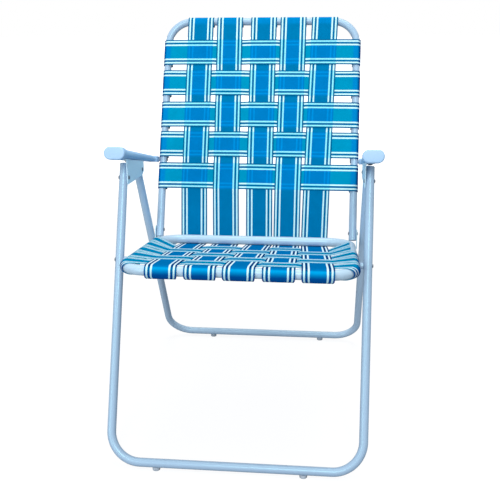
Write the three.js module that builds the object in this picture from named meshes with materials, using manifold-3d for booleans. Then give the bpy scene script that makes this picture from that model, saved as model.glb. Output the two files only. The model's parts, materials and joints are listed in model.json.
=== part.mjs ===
// Folding lawn chair with woven webbing, in millimetres, +Z up, the sitter faces -Y.
// Its left arm is on the +X side. Two bent leg frames carry a seat loop and a back bow,
// and the front legs, seat, back and armrests form a parallel linkage on each side.
import * as THREE from 'three';
import { mergeVertices } from 'three/addons/utils/BufferGeometryUtils.js';
import Module from 'manifold-3d';

const wasm = await Module();
wasm.setup();

// Tubes
const legDiameter = 16;
const seatDiameter = 19;
const backDiameter = 16;
const tubeWall = 1;

// Webbing straps: width, thickness, and the gaps between neighbours and to the tubes
const strapWidth = 57.15;
const strapThickness = 1;
const strapTail = 14;
const seatStrapTail = 9.5;
const lengthwiseSpacing = 11.9;
const lengthwiseSideGap = 33.8;
const backCrossSpacing = 13.2;
const backLowerGap = 86.9;
const backUpperGap = 44.5;
const seatCrossSpacing = 3;
const seatFrontGap = 10.8;
const seatRearGap = 44.4;
const seatStrapRise = 12;
const strapHingeGap = 22;

// Where the lengthwise straps lie, in shares of their pitch, and how the cross straps drift
const backStrapTopShares = [-1.968, -1.027, 0.061, 1.005, 2.001];
const backStrapFootShares = [-1.972, -0.954, 0.1, 0.975, 1.842];
const seatStrapFrontShares = [-1.887, -0.893, 0.083, 1.07, 2.05];
const backCrossDriftShares = [0.24, 0.26, -0.02, 0.03, 0];
const seatCrossDriftShares = [0, 0, 0, 0, 0];

// Leg frames: the rails' half widths beyond the leg tops', bends, and the side view
const frontRailSplay = -3;
const rearRailSplay = 1;
const legBendRadius = 55;
const frontLeanAngle = 24.4;
const rearLeanAngle = 28.9;
const armPivotHeight = 490.3;
const legPivotSpacing = 106.7;
const frontLegOverrun = 27;
const rearLegOverrun = 11;

// Parallel linkage: leg pivot to leg pivot, and the seat's pivots from its two cross tubes
const linkHeight = 156;
const seatPivotSetback = 94.3;
const backPivotSetback = 2.9;
const backPivotRise = 20.36;

// Seat loop
const seatFallAngle = 8.5;
const seatFrontBend = 48;
const seatRearBend = 55;
const seatSeam = 0.4;
const seatSleeveLength = 40;

// Back bow
const backBend = 52;
const backFootLength = 15;

// Armrests: how far the rounded front end lies beyond the front leg's pivot, and sections
const armOverhang = 50;
const armFallAngle = 13.6;
const armFrontWidth = 39;
const armRearWidth = 18;
const armFrontHeight = 24;
const armRearHeight = 14;
const armOutset = 2.2;
const armTabLength = 45;
const armTabThickness = 4.5;
const armTabHalfHeight = 6.5;
const armTabBite = 1.1;

// Armrest brackets of bent sheet
const bracketSheet = 2;
const bracketFrontMargin = 7.5;
const bracketRearMargin = 15;
const bracketDrop = 12.5;
const bracketRise = 6;
const bracketFlangeWidth = 20;
const bracketFlangeFrontMargin = 25.3;
const bracketFlangeRearMargin = 26.2;

// Hinge brackets that carry the back on the seat loop
const hingeSheet = 1.5;
const hingeHalfWidth = 8.5;
const hingeFootRun = 15;
const hingeFootMargin = 8.7;
const hingeRivetAngle = 55;

// Rivets, screws, spacers and feet
const rivetRadius = 2.5;
const rivetHeadRadius = 3.8;
const rivetHeadHeight = 1.8;
const blindRivetBulb = 3.6;
const blindRivetDepth = 5;
const holeRadius = 3;
const spacerRadius = 6;
const spacerLength = 6.2;
const armWasherRadius = 4.3;
const screwRadius = 1.8;
const screwHoleRadius = 2.1;
const screwHeadRadius = 4;
const screwHeadHeight = 1.8;
const screwDepth = 9;
const screwSpacing = 32;
const footRadius = 7;
const footHeight = 5;
const footRise = 1.5;
const footStemRadius = 2.2;
const footStemHoleRadius = 2.6;
const footStemTop = 3;
const footSpacing = 266;
const frontFeetShift = -10;
const rearFeetShift = 9;

// Gaps that neighbours keep
const restGap = 0.3;
const weaveGap = 0.3;
const cutOverrun = 5;

// Facets
const tubeSides = 12;
const holeSides = 12;
const roundSides = 10;
const bendSteps = 6;
const wrapSteps = 8;
const strapCornerSteps = 7;
const weldTolerance = 0.0001;

const steelPaint = { color: 0xc9dcec, roughness: 0.35, metalness: 0.15 };
const rivetSteel = { color: 0x9aa6b2, roughness: 0.4, metalness: 0.8 };
const armPlastic = { color: 0xc4e2f5, roughness: 0.45, metalness: 0 };
const footPlastic = { color: 0xaab4bd, roughness: 0.6, metalness: 0 };
const webbingDown = { color: 0x007db2, roughness: 0.75, metalness: 0 };
const webbingAcross = { color: 0x0096b6, roughness: 0.75, metalness: 0 };

const legRadius = legDiameter / 2;
const seatRadius = seatDiameter / 2;
const backRadius = backDiameter / 2;

// Straps across and along: how many there are, their pitches, and the frames that they fill
const strapSpan = (count, spacing) => count * strapWidth + (count - 1) * spacing;
const lengthwisePitch = strapWidth + lengthwiseSpacing;
const backCrossPitch = strapWidth + backCrossSpacing;
const seatCrossPitch = strapWidth + seatCrossSpacing;
const backCrossCount = backCrossDriftShares.length;
const seatCrossCount = seatCrossDriftShares.length;
const lengthwiseSpan = strapSpan(backStrapTopShares.length, lengthwiseSpacing);
const backHalfWidth = lengthwiseSpan / 2 + lengthwiseSideGap + backRadius;
const backLength = backLowerGap + strapSpan(backCrossCount, backCrossSpacing) + backUpperGap;
const seatDepth = seatFrontGap + strapSpan(seatCrossCount, seatCrossSpacing) + seatRearGap;

// X places from the back tube outward: hinge bracket, rivet head, armrest bracket, leg tube
const hingeInner = backHalfWidth + backRadius + restGap;
const hingeOuter = hingeInner + hingeSheet;
const bracketInner = hingeOuter + restGap + rivetHeadHeight + restGap;
const bracketOuter = bracketInner + bracketSheet;
const legTopHalfWidth = bracketOuter + restGap + legRadius;
const frontRailHalfWidth = legTopHalfWidth + frontRailSplay;
const rearRailHalfWidth = legTopHalfWidth + rearRailSplay;

// Points and directions in the side view, as [rearward, up]
const degrees = Math.PI / 180;
const heading = (angle) => [Math.cos(angle * degrees), Math.sin(angle * degrees)];
const along = (from, direction, distance) => [
  from[0] + direction[0] * distance,
  from[1] + direction[1] * distance,
];
const opposite = (direction) => [-direction[0], -direction[1]];
const leftTurn = (direction) => [-direction[1], direction[0]];
const mix = (from, to, share) => from + (to - from) * share;

function unit(from, to) {
  const step = [to[0] - from[0], to[1] - from[1]];
  const length = Math.hypot(step[0], step[1]);
  return [step[0] / length, step[1] / length];
}

const rightAngle = 90;
const frontLegUp = heading(rightAngle - frontLeanAngle);
const rearLegUp = heading(rightAngle + rearLeanAngle);
const seatRear = heading(-seatFallAngle);
const seatUp = leftTurn(seatRear);
const backUp = frontLegUp;
const backFront = leftTurn(backUp);
const armFront = heading(2 * rightAngle - armFallAngle);
const armUp = opposite(leftTurn(armFront));

// Side view skeleton, measured from the front rail and then centred on its depth
const railHeight = footHeight + legRadius;
const frontLegRise = (armPivotHeight - railHeight) / frontLegUp[1];
const armPivotFromRail = along([0, railHeight], frontLegUp, frontLegRise);
const seatPivotFromRail = along(armPivotFromRail, frontLegUp, -linkHeight);
const seatRearPlace = seatDepth - seatPivotSetback;
const backPivotPlace = [seatRearPlace - backPivotSetback, backPivotRise];
const backPivotRun = along(seatPivotFromRail, seatRear, backPivotPlace[0]);
const backPivotFromRail = along(backPivotRun, seatUp, backPivotPlace[1]);
const backTopFromRail = along(backPivotFromRail, backUp, backLength);
const rearReach = backTopFromRail[0] + backRadius + restGap + strapThickness;
const frontRailPlace = -(rearReach - legRadius) / 2;
const frontRail = [frontRailPlace, railHeight];
const armPivot = along(frontRail, frontLegUp, frontLegRise);
const seatPivot = along(armPivot, frontLegUp, -linkHeight);
const linkRear = unit(seatPivotFromRail, backPivotFromRail);
const linkReach = Math.hypot(...backPivotPlace);
const backPivot = along(seatPivot, linkRear, linkReach);
const armRearPivot = along(armPivot, linkRear, linkReach);
const backTop = along(backPivot, backUp, backLength);
const rearLegPivot = along(armPivot, linkRear, legPivotSpacing);
const rearLegDrop = (rearLegPivot[1] - railHeight) / rearLegUp[1];
const rearRail = along(rearLegPivot, rearLegUp, -rearLegDrop);
const seatFrontTube = along(seatPivot, seatRear, -seatPivotSetback);
const seatRearTube = along(seatFrontTube, seatRear, seatDepth);

const group = new THREE.Group();

function addMesh(name, geometry, look) {
  const mesh = new THREE.Mesh(geometry, new THREE.MeshStandardMaterial(look));
  mesh.name = name;
  group.add(mesh);
}

// A geometry as a manifold solid, and back
function toSolid(geometry) {
  const bare = geometry.clone();
  bare.deleteAttribute('normal');
  bare.deleteAttribute('uv');
  const merged = mergeVertices(bare, weldTolerance);
  const vertProperties = new Float32Array(merged.attributes.position.array);
  const triVerts = new Uint32Array(merged.index.array);
  return new wasm.Manifold(new wasm.Mesh({ numProp: 3, vertProperties, triVerts }));
}

function toGeometry(solid) {
  const mesh = solid.getMesh();
  const geometry = new THREE.BufferGeometry();
  geometry.setAttribute('position', new THREE.BufferAttribute(new Float32Array(mesh.vertProperties), 3));
  geometry.setIndex(new THREE.BufferAttribute(new Uint32Array(mesh.triVerts), 1));
  return geometry;
}

function cut(geometry, tools) {
  let solid = toSolid(geometry);
  for (const tool of tools) {
    solid = solid.subtract(toSolid(tool));
  }
  return toGeometry(solid);
}

function join(first, second) {
  return toGeometry(toSolid(first).add(toSolid(second)));
}

// The same geometry on the other side of the middle plane, faces still pointing out
function mirrored(geometry) {
  const bare = geometry.clone();
  bare.deleteAttribute('normal');
  bare.deleteAttribute('uv');
  const copy = mergeVertices(bare, weldTolerance);
  copy.scale(-1, 1, 1);
  const order = copy.index.array;
  for (let corner = 0; corner < order.length; corner += 3) {
    const kept = order[corner];
    order[corner] = order[corner + 1];
    order[corner + 1] = kept;
  }
  return copy;
}

const onSide = (geometry, side) => (side > 0 ? geometry : mirrored(geometry));

// A path whose stations are set one by one, so straight runs need no steps
class StationPath extends THREE.Curve {
  constructor(stations) {
    super();
    this.stations = stations;
  }

  station(share) {
    return this.stations[Math.round(share * (this.stations.length - 1))];
  }

  getPointAt(share, target = new THREE.Vector3()) {
    return target.copy(this.station(share).place);
  }

  getTangentAt(share, target = new THREE.Vector3()) {
    return target.copy(this.station(share).direction);
  }
}

// Stations of a bent tube: two ends, and an arc at each corner between them
function bentStations(corners, radii) {
  const last = corners.length - 1;
  const headings = [];
  for (let leg = 0; leg < last; leg += 1) {
    headings.push(corners[leg + 1].clone().sub(corners[leg]).normalize());
  }
  const stations = [{ place: corners[0], direction: headings[0] }];
  for (let corner = 1; corner < last; corner += 1) {
    const before = headings[corner - 1];
    const after = headings[corner];
    const turn = before.angleTo(after);
    const radius = radii[corner - 1];
    const start = corners[corner].clone().addScaledVector(before, -radius * Math.tan(turn / 2));
    const axis = before.clone().cross(after).normalize();
    const inward = axis.clone().cross(before);
    const centre = start.clone().addScaledVector(inward, radius);
    for (let step = 0; step <= bendSteps; step += 1) {
      const angle = (turn * step) / bendSteps;
      const place = inward.clone().multiplyScalar(-radius).applyAxisAngle(axis, angle).add(centre);
      stations.push({ place, direction: before.clone().applyAxisAngle(axis, angle) });
    }
  }
  stations.push({ place: corners[last], direction: headings[last - 1] });
  return stations;
}

function circleShape(radius, sides) {
  const shape = new THREE.Shape();
  for (let side = 0; side < sides; side += 1) {
    const angle = (2 * Math.PI * side) / sides;
    const move = side === 0 ? 'moveTo' : 'lineTo';
    shape[move](radius * Math.cos(angle), radius * Math.sin(angle));
  }
  shape.closePath();
  return shape;
}

// A bent tube with open ends
function tube(corners, radii, radius) {
  const stations = bentStations(corners, radii);
  const section = circleShape(radius, tubeSides);
  section.holes.push(circleShape(radius - tubeWall, tubeSides));
  return new THREE.ExtrudeGeometry(section, {
    steps: stations.length - 1,
    extrudePath: new StationPath(stations),
  });
}

const spot = (across, place) => new THREE.Vector3(across, place[0], place[1]);

// A round bar across the chair, from one X to another, at a place in the side view
function crossBar(radius, sides, fromX, toX, place) {
  const bar = new THREE.CylinderGeometry(radius, radius, Math.abs(toX - fromX), sides);
  bar.rotateZ(-Math.PI / 2);
  bar.translate((fromX + toX) / 2, place[0], place[1]);
  return bar;
}

// The cutter of a pivot hole through one sheet
function pivotBar(fromX, toX, place) {
  return crossBar(holeRadius, holeSides, fromX - cutOverrun, toX + cutOverrun, place);
}

// The cutter of a pivot hole through both sides of a frame
function pivotBarAcross(place) {
  return crossBar(holeRadius, holeSides, -legSpan, legSpan, place);
}

// A ring round that bar's line, for spacers and washers
function crossRing(radius, bore, fromX, toX, place) {
  const ring = crossBar(radius, roundSides, fromX, toX, place);
  return cut(ring, [crossBar(bore, holeSides, fromX - cutOverrun, toX + cutOverrun, place)]);
}

// A side view outline, given a thickness across the chair
function plate(points, fromX, toX) {
  const outline = new THREE.Shape(points.map(([rearward, up]) => new THREE.Vector2(rearward, up)));
  const sheet = new THREE.ExtrudeGeometry(outline, { depth: toX - fromX, bevelEnabled: false });
  const axes = [new THREE.Vector3(0, 1, 0), new THREE.Vector3(0, 0, 1), new THREE.Vector3(1, 0, 0)];
  sheet.applyMatrix4(new THREE.Matrix4().makeBasis(...axes));
  sheet.translate(fromX, 0, 0);
  return sheet;
}

// A rivet along X: two low domed heads on a shank, gripping from one X to the other
function rivet(fromX, toX, place) {
  const grip = toX - fromX;
  const profile = [
    new THREE.Vector2(0, -rivetHeadHeight),
    new THREE.Vector2(rivetHeadRadius * rivetDomeShare, -rivetHeadHeight * rivetCrownShare),
    new THREE.Vector2(rivetHeadRadius, 0),
    new THREE.Vector2(rivetRadius, 0),
    new THREE.Vector2(rivetRadius, grip),
    new THREE.Vector2(rivetHeadRadius, grip),
    new THREE.Vector2(rivetHeadRadius * rivetDomeShare, grip + rivetHeadHeight * rivetCrownShare),
    new THREE.Vector2(0, grip + rivetHeadHeight),
  ];
  const body = new THREE.LatheGeometry(profile, roundSides);
  body.rotateZ(-Math.PI / 2);
  body.translate(fromX, place[0], place[1]);
  return body;
}

// A headed pin along any direction: its head starts at a point and its shank runs on
function headedPin(profile, at, direction) {
  const body = new THREE.LatheGeometry(profile, roundSides);
  const up = new THREE.Vector3(0, 1, 0);
  body.applyQuaternion(new THREE.Quaternion().setFromUnitVectors(up, direction));
  body.translate(at.x, at.y, at.z);
  return body;
}

const rivetDomeShare = 0.75;
const rivetCrownShare = 0.7;

// Front leg frame
const frontLegTop = along(armPivot, frontLegUp, frontLegOverrun);
const frontLegCorners = [
  spot(-legTopHalfWidth, frontLegTop),
  spot(-frontRailHalfWidth, frontRail),
  spot(frontRailHalfWidth, frontRail),
  spot(legTopHalfWidth, frontLegTop),
];
const legSpan = legTopHalfWidth + legDiameter;
const sides = [
  [1, 'left'],
  [-1, 'right'],
];
const feetUnder = (rail, shift, end) =>
  sides.map(([side, hand]) => {
    const across = shift + (side * footSpacing) / 2;
    return { across, rearward: rail[0], name: `${end}_foot_${hand}` };
  });
const frontFeet = feetUnder(frontRail, frontFeetShift, 'front');
const rearFeet = feetUnder(rearRail, rearFeetShift, 'rear');

function stemHole({ across, rearward }) {
  const hole = new THREE.CylinderGeometry(footStemHoleRadius, footStemHoleRadius, legRadius, holeSides);
  hole.rotateX(Math.PI / 2);
  hole.translate(across, rearward, footHeight);
  return hole;
}

const frontLegTools = [
  pivotBarAcross(armPivot),
  pivotBarAcross(seatPivot),
  ...frontFeet.map(stemHole),
];
const frontLegTube = tube(frontLegCorners, [legBendRadius, legBendRadius], legRadius);
addMesh('front_leg_frame', cut(frontLegTube, frontLegTools), steelPaint);

// Rear leg frame
const rearLegTop = along(rearLegPivot, rearLegUp, rearLegOverrun);
const rearLegCorners = [
  spot(-legTopHalfWidth, rearLegTop),
  spot(-rearRailHalfWidth, rearRail),
  spot(rearRailHalfWidth, rearRail),
  spot(legTopHalfWidth, rearLegTop),
];
const rearLegTools = [
  pivotBarAcross(rearLegPivot),
  ...rearFeet.map(stemHole),
];
const rearLegTube = tube(rearLegCorners, [legBendRadius, legBendRadius], legRadius);
addMesh('rear_leg_frame', cut(rearLegTube, rearLegTools), steelPaint);

// Feet: flat buttons saddled on the rails, each with a stem in the rail
for (const { across, rearward, name } of [...frontFeet, ...rearFeet]) {
  const profile = [
    new THREE.Vector2(0, 0),
    new THREE.Vector2(footRadius, 0),
    new THREE.Vector2(footRadius, footHeight + footRise),
    new THREE.Vector2(0, footHeight + footRise),
  ];
  const button = new THREE.LatheGeometry(profile, roundSides);
  button.rotateX(Math.PI / 2);
  button.translate(across, rearward, 0);
  const saddle = crossBar(
    legRadius + restGap,
    tubeSides * 2,
    across - footRadius - cutOverrun,
    across + footRadius + cutOverrun,
    [rearward, railHeight],
  );
  const stemLength = footHeight + footStemTop;
  const stem = new THREE.CylinderGeometry(footStemRadius, footStemRadius, stemLength, roundSides);
  stem.rotateX(Math.PI / 2);
  stem.translate(across, rearward, stemLength / 2);
  addMesh(name, join(cut(button, [saddle]), stem), footPlastic);
}

// Places on the seat: distance rearward from the leg pivot, and height over its tubes' plane
const onSeat = (rearward, up) => along(along(seatPivot, seatRear, rearward), seatUp, up);

// X places of the stack at the seat's pivot: leg tube, spacer, strap, seat tube
const seatLegShare = linkHeight / frontLegRise;
const seatLegInner = mix(legTopHalfWidth, frontRailHalfWidth, seatLegShare) - legRadius;
const seatStrapOuter = seatLegInner - restGap - spacerLength - restGap;
const seatHalfWidth = seatStrapOuter - strapThickness - restGap - seatRadius;

// Seat loop, with its seam in the middle of the rear tube
const seatCorners = [
  spot(-seatSeam / 2, seatRearTube),
  spot(-seatHalfWidth, seatRearTube),
  spot(-seatHalfWidth, seatFrontTube),
  spot(seatHalfWidth, seatFrontTube),
  spot(seatHalfWidth, seatRearTube),
  spot(seatSeam / 2, seatRearTube),
];
const seatBends = [seatRearBend, seatFrontBend, seatFrontBend, seatRearBend];
const hingeRivetAcross =
  seatHalfWidth - seatRearBend + seatRearBend * Math.cos(hingeRivetAngle * degrees);
const hingeRivetRearward =
  seatRearPlace - seatRearBend + seatRearBend * Math.sin(hingeRivetAngle * degrees);
const seatUpVector = spot(0, seatUp);
const hingeFootTop = -seatRadius - restGap;
const hingeFootBottom = hingeFootTop - hingeSheet;

function blindRivetHole(side) {
  const hole = new THREE.CylinderGeometry(holeRadius, holeRadius, seatRadius, holeSides);
  hole.applyQuaternion(new THREE.Quaternion().setFromUnitVectors(new THREE.Vector3(0, 1, 0), seatUpVector));
  const middle = spot(side * hingeRivetAcross, onSeat(hingeRivetRearward, -seatRadius));
  hole.translate(middle.x, middle.y, middle.z);
  return hole;
}

const seatTools = [
  pivotBarAcross(seatPivot),
  blindRivetHole(1),
  blindRivetHole(-1),
];
addMesh('seat_frame', cut(tube(seatCorners, seatBends, seatRadius), seatTools), steelPaint);

// Sleeve that joins the loop's two ends from inside
const sleeveRadius = seatRadius - tubeWall - restGap * 2;
addMesh(
  'seat_frame_sleeve',
  crossRing(sleeveRadius, sleeveRadius - tubeWall, -seatSleeveLength / 2, seatSleeveLength / 2, seatRearTube),
  rivetSteel,
);

// Back bow, its two feet free below the hinge
const backFoot = along(backPivot, backUp, -backFootLength);
const backCorners = [
  spot(-backHalfWidth, backFoot),
  spot(-backHalfWidth, backTop),
  spot(backHalfWidth, backTop),
  spot(backHalfWidth, backFoot),
];
const backTools = [
  pivotBarAcross(backPivot),
  pivotBarAcross(armRearPivot),
];
addMesh('back_frame', cut(tube(backCorners, [backBend, backBend], backRadius), backTools), steelPaint);

// The arm's length from its rear pivot to the middle of the rounded front end
const linkTurn = Math.acos(-linkRear[0] * armFront[0] - linkRear[1] * armFront[1]);
const armLength = linkReach * Math.cos(linkTurn) + armOverhang;

// Armrest sizes along its length: place, then shares of the way from rear to front size
// in width, height and inner edge, and the section's own share: a bar ends in a wider head
const armShares = [
  [0.075, 0, 0, 0, 1],
  [0.5, 0.36, 0.19, 0.3, 1],
  [0.925, 0.72, 0.38, 0.63, 1],
  [0.955, 1, 1, 1, 0.98],
  [1.0, 1, 1, 1, 1],
  [1.02, 1, 1, 1, 1],
  [1.032, 1, 1, 1, 0.9],
];
const armSectionSides = 16;
const armSquarenessShare = 0.56;
const tabGapShare = 2.5;
const armTabInner = backHalfWidth + backRadius + restGap + strapThickness + restGap * tabGapShare;
const armTabOuter = armTabInner + armTabThickness;
const armRearInner = armTabOuter - armTabBite;
const armFrontInner = legTopHalfWidth + armOutset - armFrontWidth / 2;

function armHeightAt(distance) {
  const share = distance / armLength;
  let after = armShares.findIndex((row) => row[0] >= share);
  after = Math.max(after, 1);
  const [nearPlace, , nearHeight] = armShares[after - 1];
  const [farPlace, , farHeight] = armShares[after];
  const between = (share - nearPlace) / (farPlace - nearPlace);
  return mix(armRearHeight, armFrontHeight, mix(nearHeight, farHeight, between));
}

// Places on the arm: distance forward from the rear pivot, and height over its axis
const onArm = (forward, up) => along(along(armRearPivot, armFront, forward), armUp, up);
const underArm = (forward, gap) => onArm(forward, -armHeightAt(forward) / 2 - gap);

function armBody() {
  const section = new THREE.Shape();
  for (let side = 0; side < armSectionSides; side += 1) {
    const angle = (2 * Math.PI * side) / armSectionSides;
    const round = (value) => (Math.sign(value) * Math.abs(value) ** armSquarenessShare) / 2;
    const move = side === 0 ? 'moveTo' : 'lineTo';
    section[move](round(Math.cos(angle)), round(Math.sin(angle)));
  }
  section.closePath();
  const steps = armShares.length - 1;
  const body = new THREE.ExtrudeGeometry(section, { depth: 1, steps, bevelEnabled: false });
  const places = body.attributes.position;
  for (let index = 0; index < places.count; index += 1) {
    const row = armShares[Math.round(places.getZ(index) * steps)];
    const width = mix(armRearWidth, armFrontWidth, row[1]);
    const height = mix(armRearHeight, armFrontHeight, row[2]);
    const middle = mix(armRearInner, armFrontInner, row[3]) + width / 2;
    const across = middle + places.getX(index) * width * row[4];
    const [rearward, up] = onArm(row[0] * armLength, places.getY(index) * height * row[4]);
    places.setXYZ(index, across, rearward, up);
  }
  body.deleteAttribute('normal');
  return body;
}

// The flat tab at the arm's rear, round about its pivot
function armTab() {
  const points = [];
  for (let step = 0; step <= bendSteps; step += 1) {
    const angle = rightAngle - (2 * rightAngle * step) / bendSteps;
    const [back, up] = heading(angle);
    points.push(onArm(-armTabHalfHeight * back, armTabHalfHeight * up));
  }
  points.push(onArm(armTabLength, -armTabHalfHeight));
  points.push(onArm(armTabLength, armTabHalfHeight));
  return plate(points, armTabInner, armTabOuter);
}

// Where the bracket's flange lies along the arm, between the two leg tops
const forwardOf = (rearward) => (armRearPivot[0] - rearward) / -armFront[0];
const flangeStart = forwardOf(rearLegPivot[0]) + bracketFlangeRearMargin;
const flangeEnd = forwardOf(armPivot[0]) - bracketFlangeFrontMargin;
const flangeMiddle = (flangeStart + flangeEnd) / 2;
const screwPlaces = [flangeMiddle - screwSpacing / 2, flangeMiddle + screwSpacing / 2];
const screwAcross = bracketInner + bracketFlangeWidth / 2 + bracketSheet;
const armUpVector = spot(0, armUp);

function armScrewLine(radius, sides, forward, fromUp, toUp) {
  const bar = new THREE.CylinderGeometry(radius, radius, toUp - fromUp, sides);
  bar.applyQuaternion(new THREE.Quaternion().setFromUnitVectors(new THREE.Vector3(0, 1, 0), armUpVector));
  const middle = spot(screwAcross, along(underArm(forward, 0), armUp, (fromUp + toUp) / 2));
  bar.translate(middle.x, middle.y, middle.z);
  return bar;
}

function armRest() {
  const tools = [pivotBar(armTabInner, armTabOuter, armRearPivot)];
  for (const forward of screwPlaces) {
    tools.push(armScrewLine(screwHoleRadius, roundSides, forward, -cutOverrun, screwDepth + restGap));
  }
  return cut(join(armBody(), armTab()), tools);
}

function armBracket() {
  const front = armPivot[0] - bracketFrontMargin;
  const rear = rearLegPivot[0] + bracketRearMargin;
  const low = armPivot[1] - bracketDrop;
  const outline = [
    [front, low],
    [rearLegPivot[0], rearLegPivot[1] - bracketDrop + restGap],
    [rear, rearLegPivot[1] - bracketDrop + bracketRise],
    underArm(forwardOf(rear), restGap),
    underArm(flangeStart, restGap),
    underArm(flangeEnd, restGap),
    underArm(forwardOf(front), restGap),
  ];
  const wall = plate(outline, bracketInner, bracketOuter);
  const flange = plate(
    [
      underArm(flangeStart, restGap + bracketSheet),
      underArm(flangeEnd, restGap + bracketSheet),
      underArm(flangeEnd, restGap),
      underArm(flangeStart, restGap),
    ].reverse(),
    bracketInner,
    bracketInner + bracketFlangeWidth,
  );
  const tools = [
    pivotBar(bracketInner, bracketOuter, armPivot),
    pivotBar(bracketInner, bracketOuter, rearLegPivot),
  ];
  for (const forward of screwPlaces) {
    tools.push(armScrewLine(screwHoleRadius, roundSides, forward, -cutOverrun, cutOverrun));
  }
  return cut(join(wall, flange), tools);
}

function armScrew(forward) {
  const headFace = -restGap * 2 - bracketSheet;
  const profile = [
    new THREE.Vector2(0, headFace - screwHeadHeight),
    new THREE.Vector2(screwHeadRadius * rivetDomeShare, headFace - screwHeadHeight),
    new THREE.Vector2(screwHeadRadius, headFace),
    new THREE.Vector2(screwRadius, headFace),
    new THREE.Vector2(screwRadius, screwDepth),
    new THREE.Vector2(0, screwDepth),
  ];
  return headedPin(profile, spot(screwAcross, underArm(forward, 0)), armUpVector);
}

// Hinge bracket: an upright beside the back's foot, and a foot under the seat loop's corner
function hingeBracket() {
  const outline = [];
  for (let step = 0; step <= bendSteps; step += 1) {
    const [rearward, up] = heading((2 * rightAngle * step) / bendSteps);
    const place = along(backPivotPlace, [rearward, up], hingeHalfWidth);
    outline.push(onSeat(...place));
  }
  const footFront = backPivotPlace[0] - hingeFootRun;
  outline.push(onSeat(footFront, hingeFootBottom));
  outline.push(onSeat(backPivotPlace[0] + hingeHalfWidth, hingeFootBottom));
  const upright = plate(outline, hingeInner, hingeOuter);
  const foot = plate(
    [
      onSeat(footFront, hingeFootBottom),
      onSeat(backPivotPlace[0] + hingeHalfWidth, hingeFootBottom),
      onSeat(backPivotPlace[0] + hingeHalfWidth, hingeFootTop),
      onSeat(footFront, hingeFootTop),
    ],
    hingeRivetAcross - hingeFootMargin,
    hingeOuter,
  );
  const tools = [
    pivotBar(hingeInner, hingeOuter, backPivot),
    blindRivetHole(1),
  ];
  return cut(join(upright, foot), tools);
}

// Blind rivet: head under the hinge bracket's foot, bulb inside the seat tube
function hingeFootRivet() {
  const headFace = hingeFootBottom - restGap;
  const bulbFace = -seatRadius + tubeWall + restGap * 2;
  const profile = [
    new THREE.Vector2(0, headFace - rivetHeadHeight),
    new THREE.Vector2(rivetHeadRadius * rivetDomeShare, headFace - rivetHeadHeight * rivetCrownShare),
    new THREE.Vector2(rivetHeadRadius, headFace),
    new THREE.Vector2(rivetRadius, headFace),
    new THREE.Vector2(rivetRadius, bulbFace),
    new THREE.Vector2(blindRivetBulb, bulbFace + rivetRadius),
    new THREE.Vector2(rivetRadius, bulbFace + blindRivetDepth),
    new THREE.Vector2(0, bulbFace + blindRivetDepth),
  ];
  return headedPin(profile, spot(hingeRivetAcross, onSeat(hingeRivetRearward, 0)), seatUpVector);
}

// X places of the stacks along each pivot, from the middle outward
const washerOuter = armTabInner - restGap;
const headSeat = restGap;

for (const [side, hand] of sides) {
  addMesh(`armrest_${hand}`, onSide(armRest(), side), armPlastic);
  addMesh(`arm_bracket_${hand}`, onSide(armBracket(), side), steelPaint);
  screwPlaces.forEach((forward, index) => {
    addMesh(`arm_bracket_screw_${hand}_${index + 1}`, onSide(armScrew(forward), side), rivetSteel);
  });
  const legOuter = legTopHalfWidth + legRadius;
  const gripInner = bracketInner - headSeat;
  const frontLegRivet = rivet(gripInner, legOuter + headSeat, armPivot);
  addMesh(`front_leg_rivet_${hand}`, onSide(frontLegRivet, side), rivetSteel);
  const rearLegRivet = rivet(gripInner, legOuter + headSeat, rearLegPivot);
  addMesh(`rear_leg_rivet_${hand}`, onSide(rearLegRivet, side), rivetSteel);
  const seatGripInner = seatHalfWidth - seatRadius - headSeat;
  const seatGripOuter = seatLegInner + legDiameter + headSeat;
  addMesh(`seat_rivet_${hand}`, onSide(rivet(seatGripInner, seatGripOuter, seatPivot), side), rivetSteel);
  const spacerFrom = seatStrapOuter + restGap;
  const spacer = crossRing(spacerRadius, holeRadius, spacerFrom, seatLegInner - restGap, seatPivot);
  addMesh(`seat_spacer_${hand}`, onSide(spacer, side), steelPaint);
  addMesh(`back_hinge_bracket_${hand}`, onSide(hingeBracket(), side), steelPaint);
  addMesh(`back_hinge_foot_rivet_${hand}`, onSide(hingeFootRivet(), side), rivetSteel);
  const backGripInner = backHalfWidth - backRadius - headSeat;
  const hingeRivet = rivet(backGripInner, hingeOuter + headSeat, backPivot);
  addMesh(`back_hinge_rivet_${hand}`, onSide(hingeRivet, side), rivetSteel);
  const armRivet = rivet(backGripInner, armTabOuter + headSeat, armRearPivot);
  addMesh(`arm_rear_rivet_${hand}`, onSide(armRivet, side), rivetSteel);
  const washer = crossRing(armWasherRadius, holeRadius, hingeInner, washerOuter, armRearPivot);
  addMesh(`arm_rear_washer_${hand}`, onSide(washer, side), rivetSteel);
}

// Both sides of a strap's centre line, half its thickness away, joined into an outline
function strapOutline(line) {
  const last = line.length - 1;
  const half = strapThickness / 2;
  const rims = [[], []];
  line.forEach((place, index) => {
    const before = line[Math.max(index - 1, 0)];
    const after = line[Math.min(index + 1, last)];
    const into = index === 0 ? null : unit(before, place);
    const out = index === last ? null : unit(place, after);
    const first = leftTurn(into ?? out);
    const second = leftTurn(out ?? into);
    const sum = [first[0] + second[0], first[1] + second[1]];
    const scale = 2 / (sum[0] ** 2 + sum[1] ** 2);
    rims[0].push(along(place, sum, half * scale));
    rims[1].push(along(place, sum, -half * scale));
  });
  return rims[0].concat(rims[1].reverse());
}

// Points of an arc about a centre, from one angle to another, in degrees
function arc(centre, radius, from, to) {
  const points = [];
  for (let step = 0; step <= wrapSteps; step += 1) {
    points.push(along(centre, heading(mix(from, to, step / wrapSteps)), radius));
  }
  return points;
}

const weaveLift = (strapThickness + weaveGap) / 2;
const seatWrap = seatRadius + restGap + strapThickness / 2;
const backWrap = backRadius + restGap + strapThickness / 2;

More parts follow.
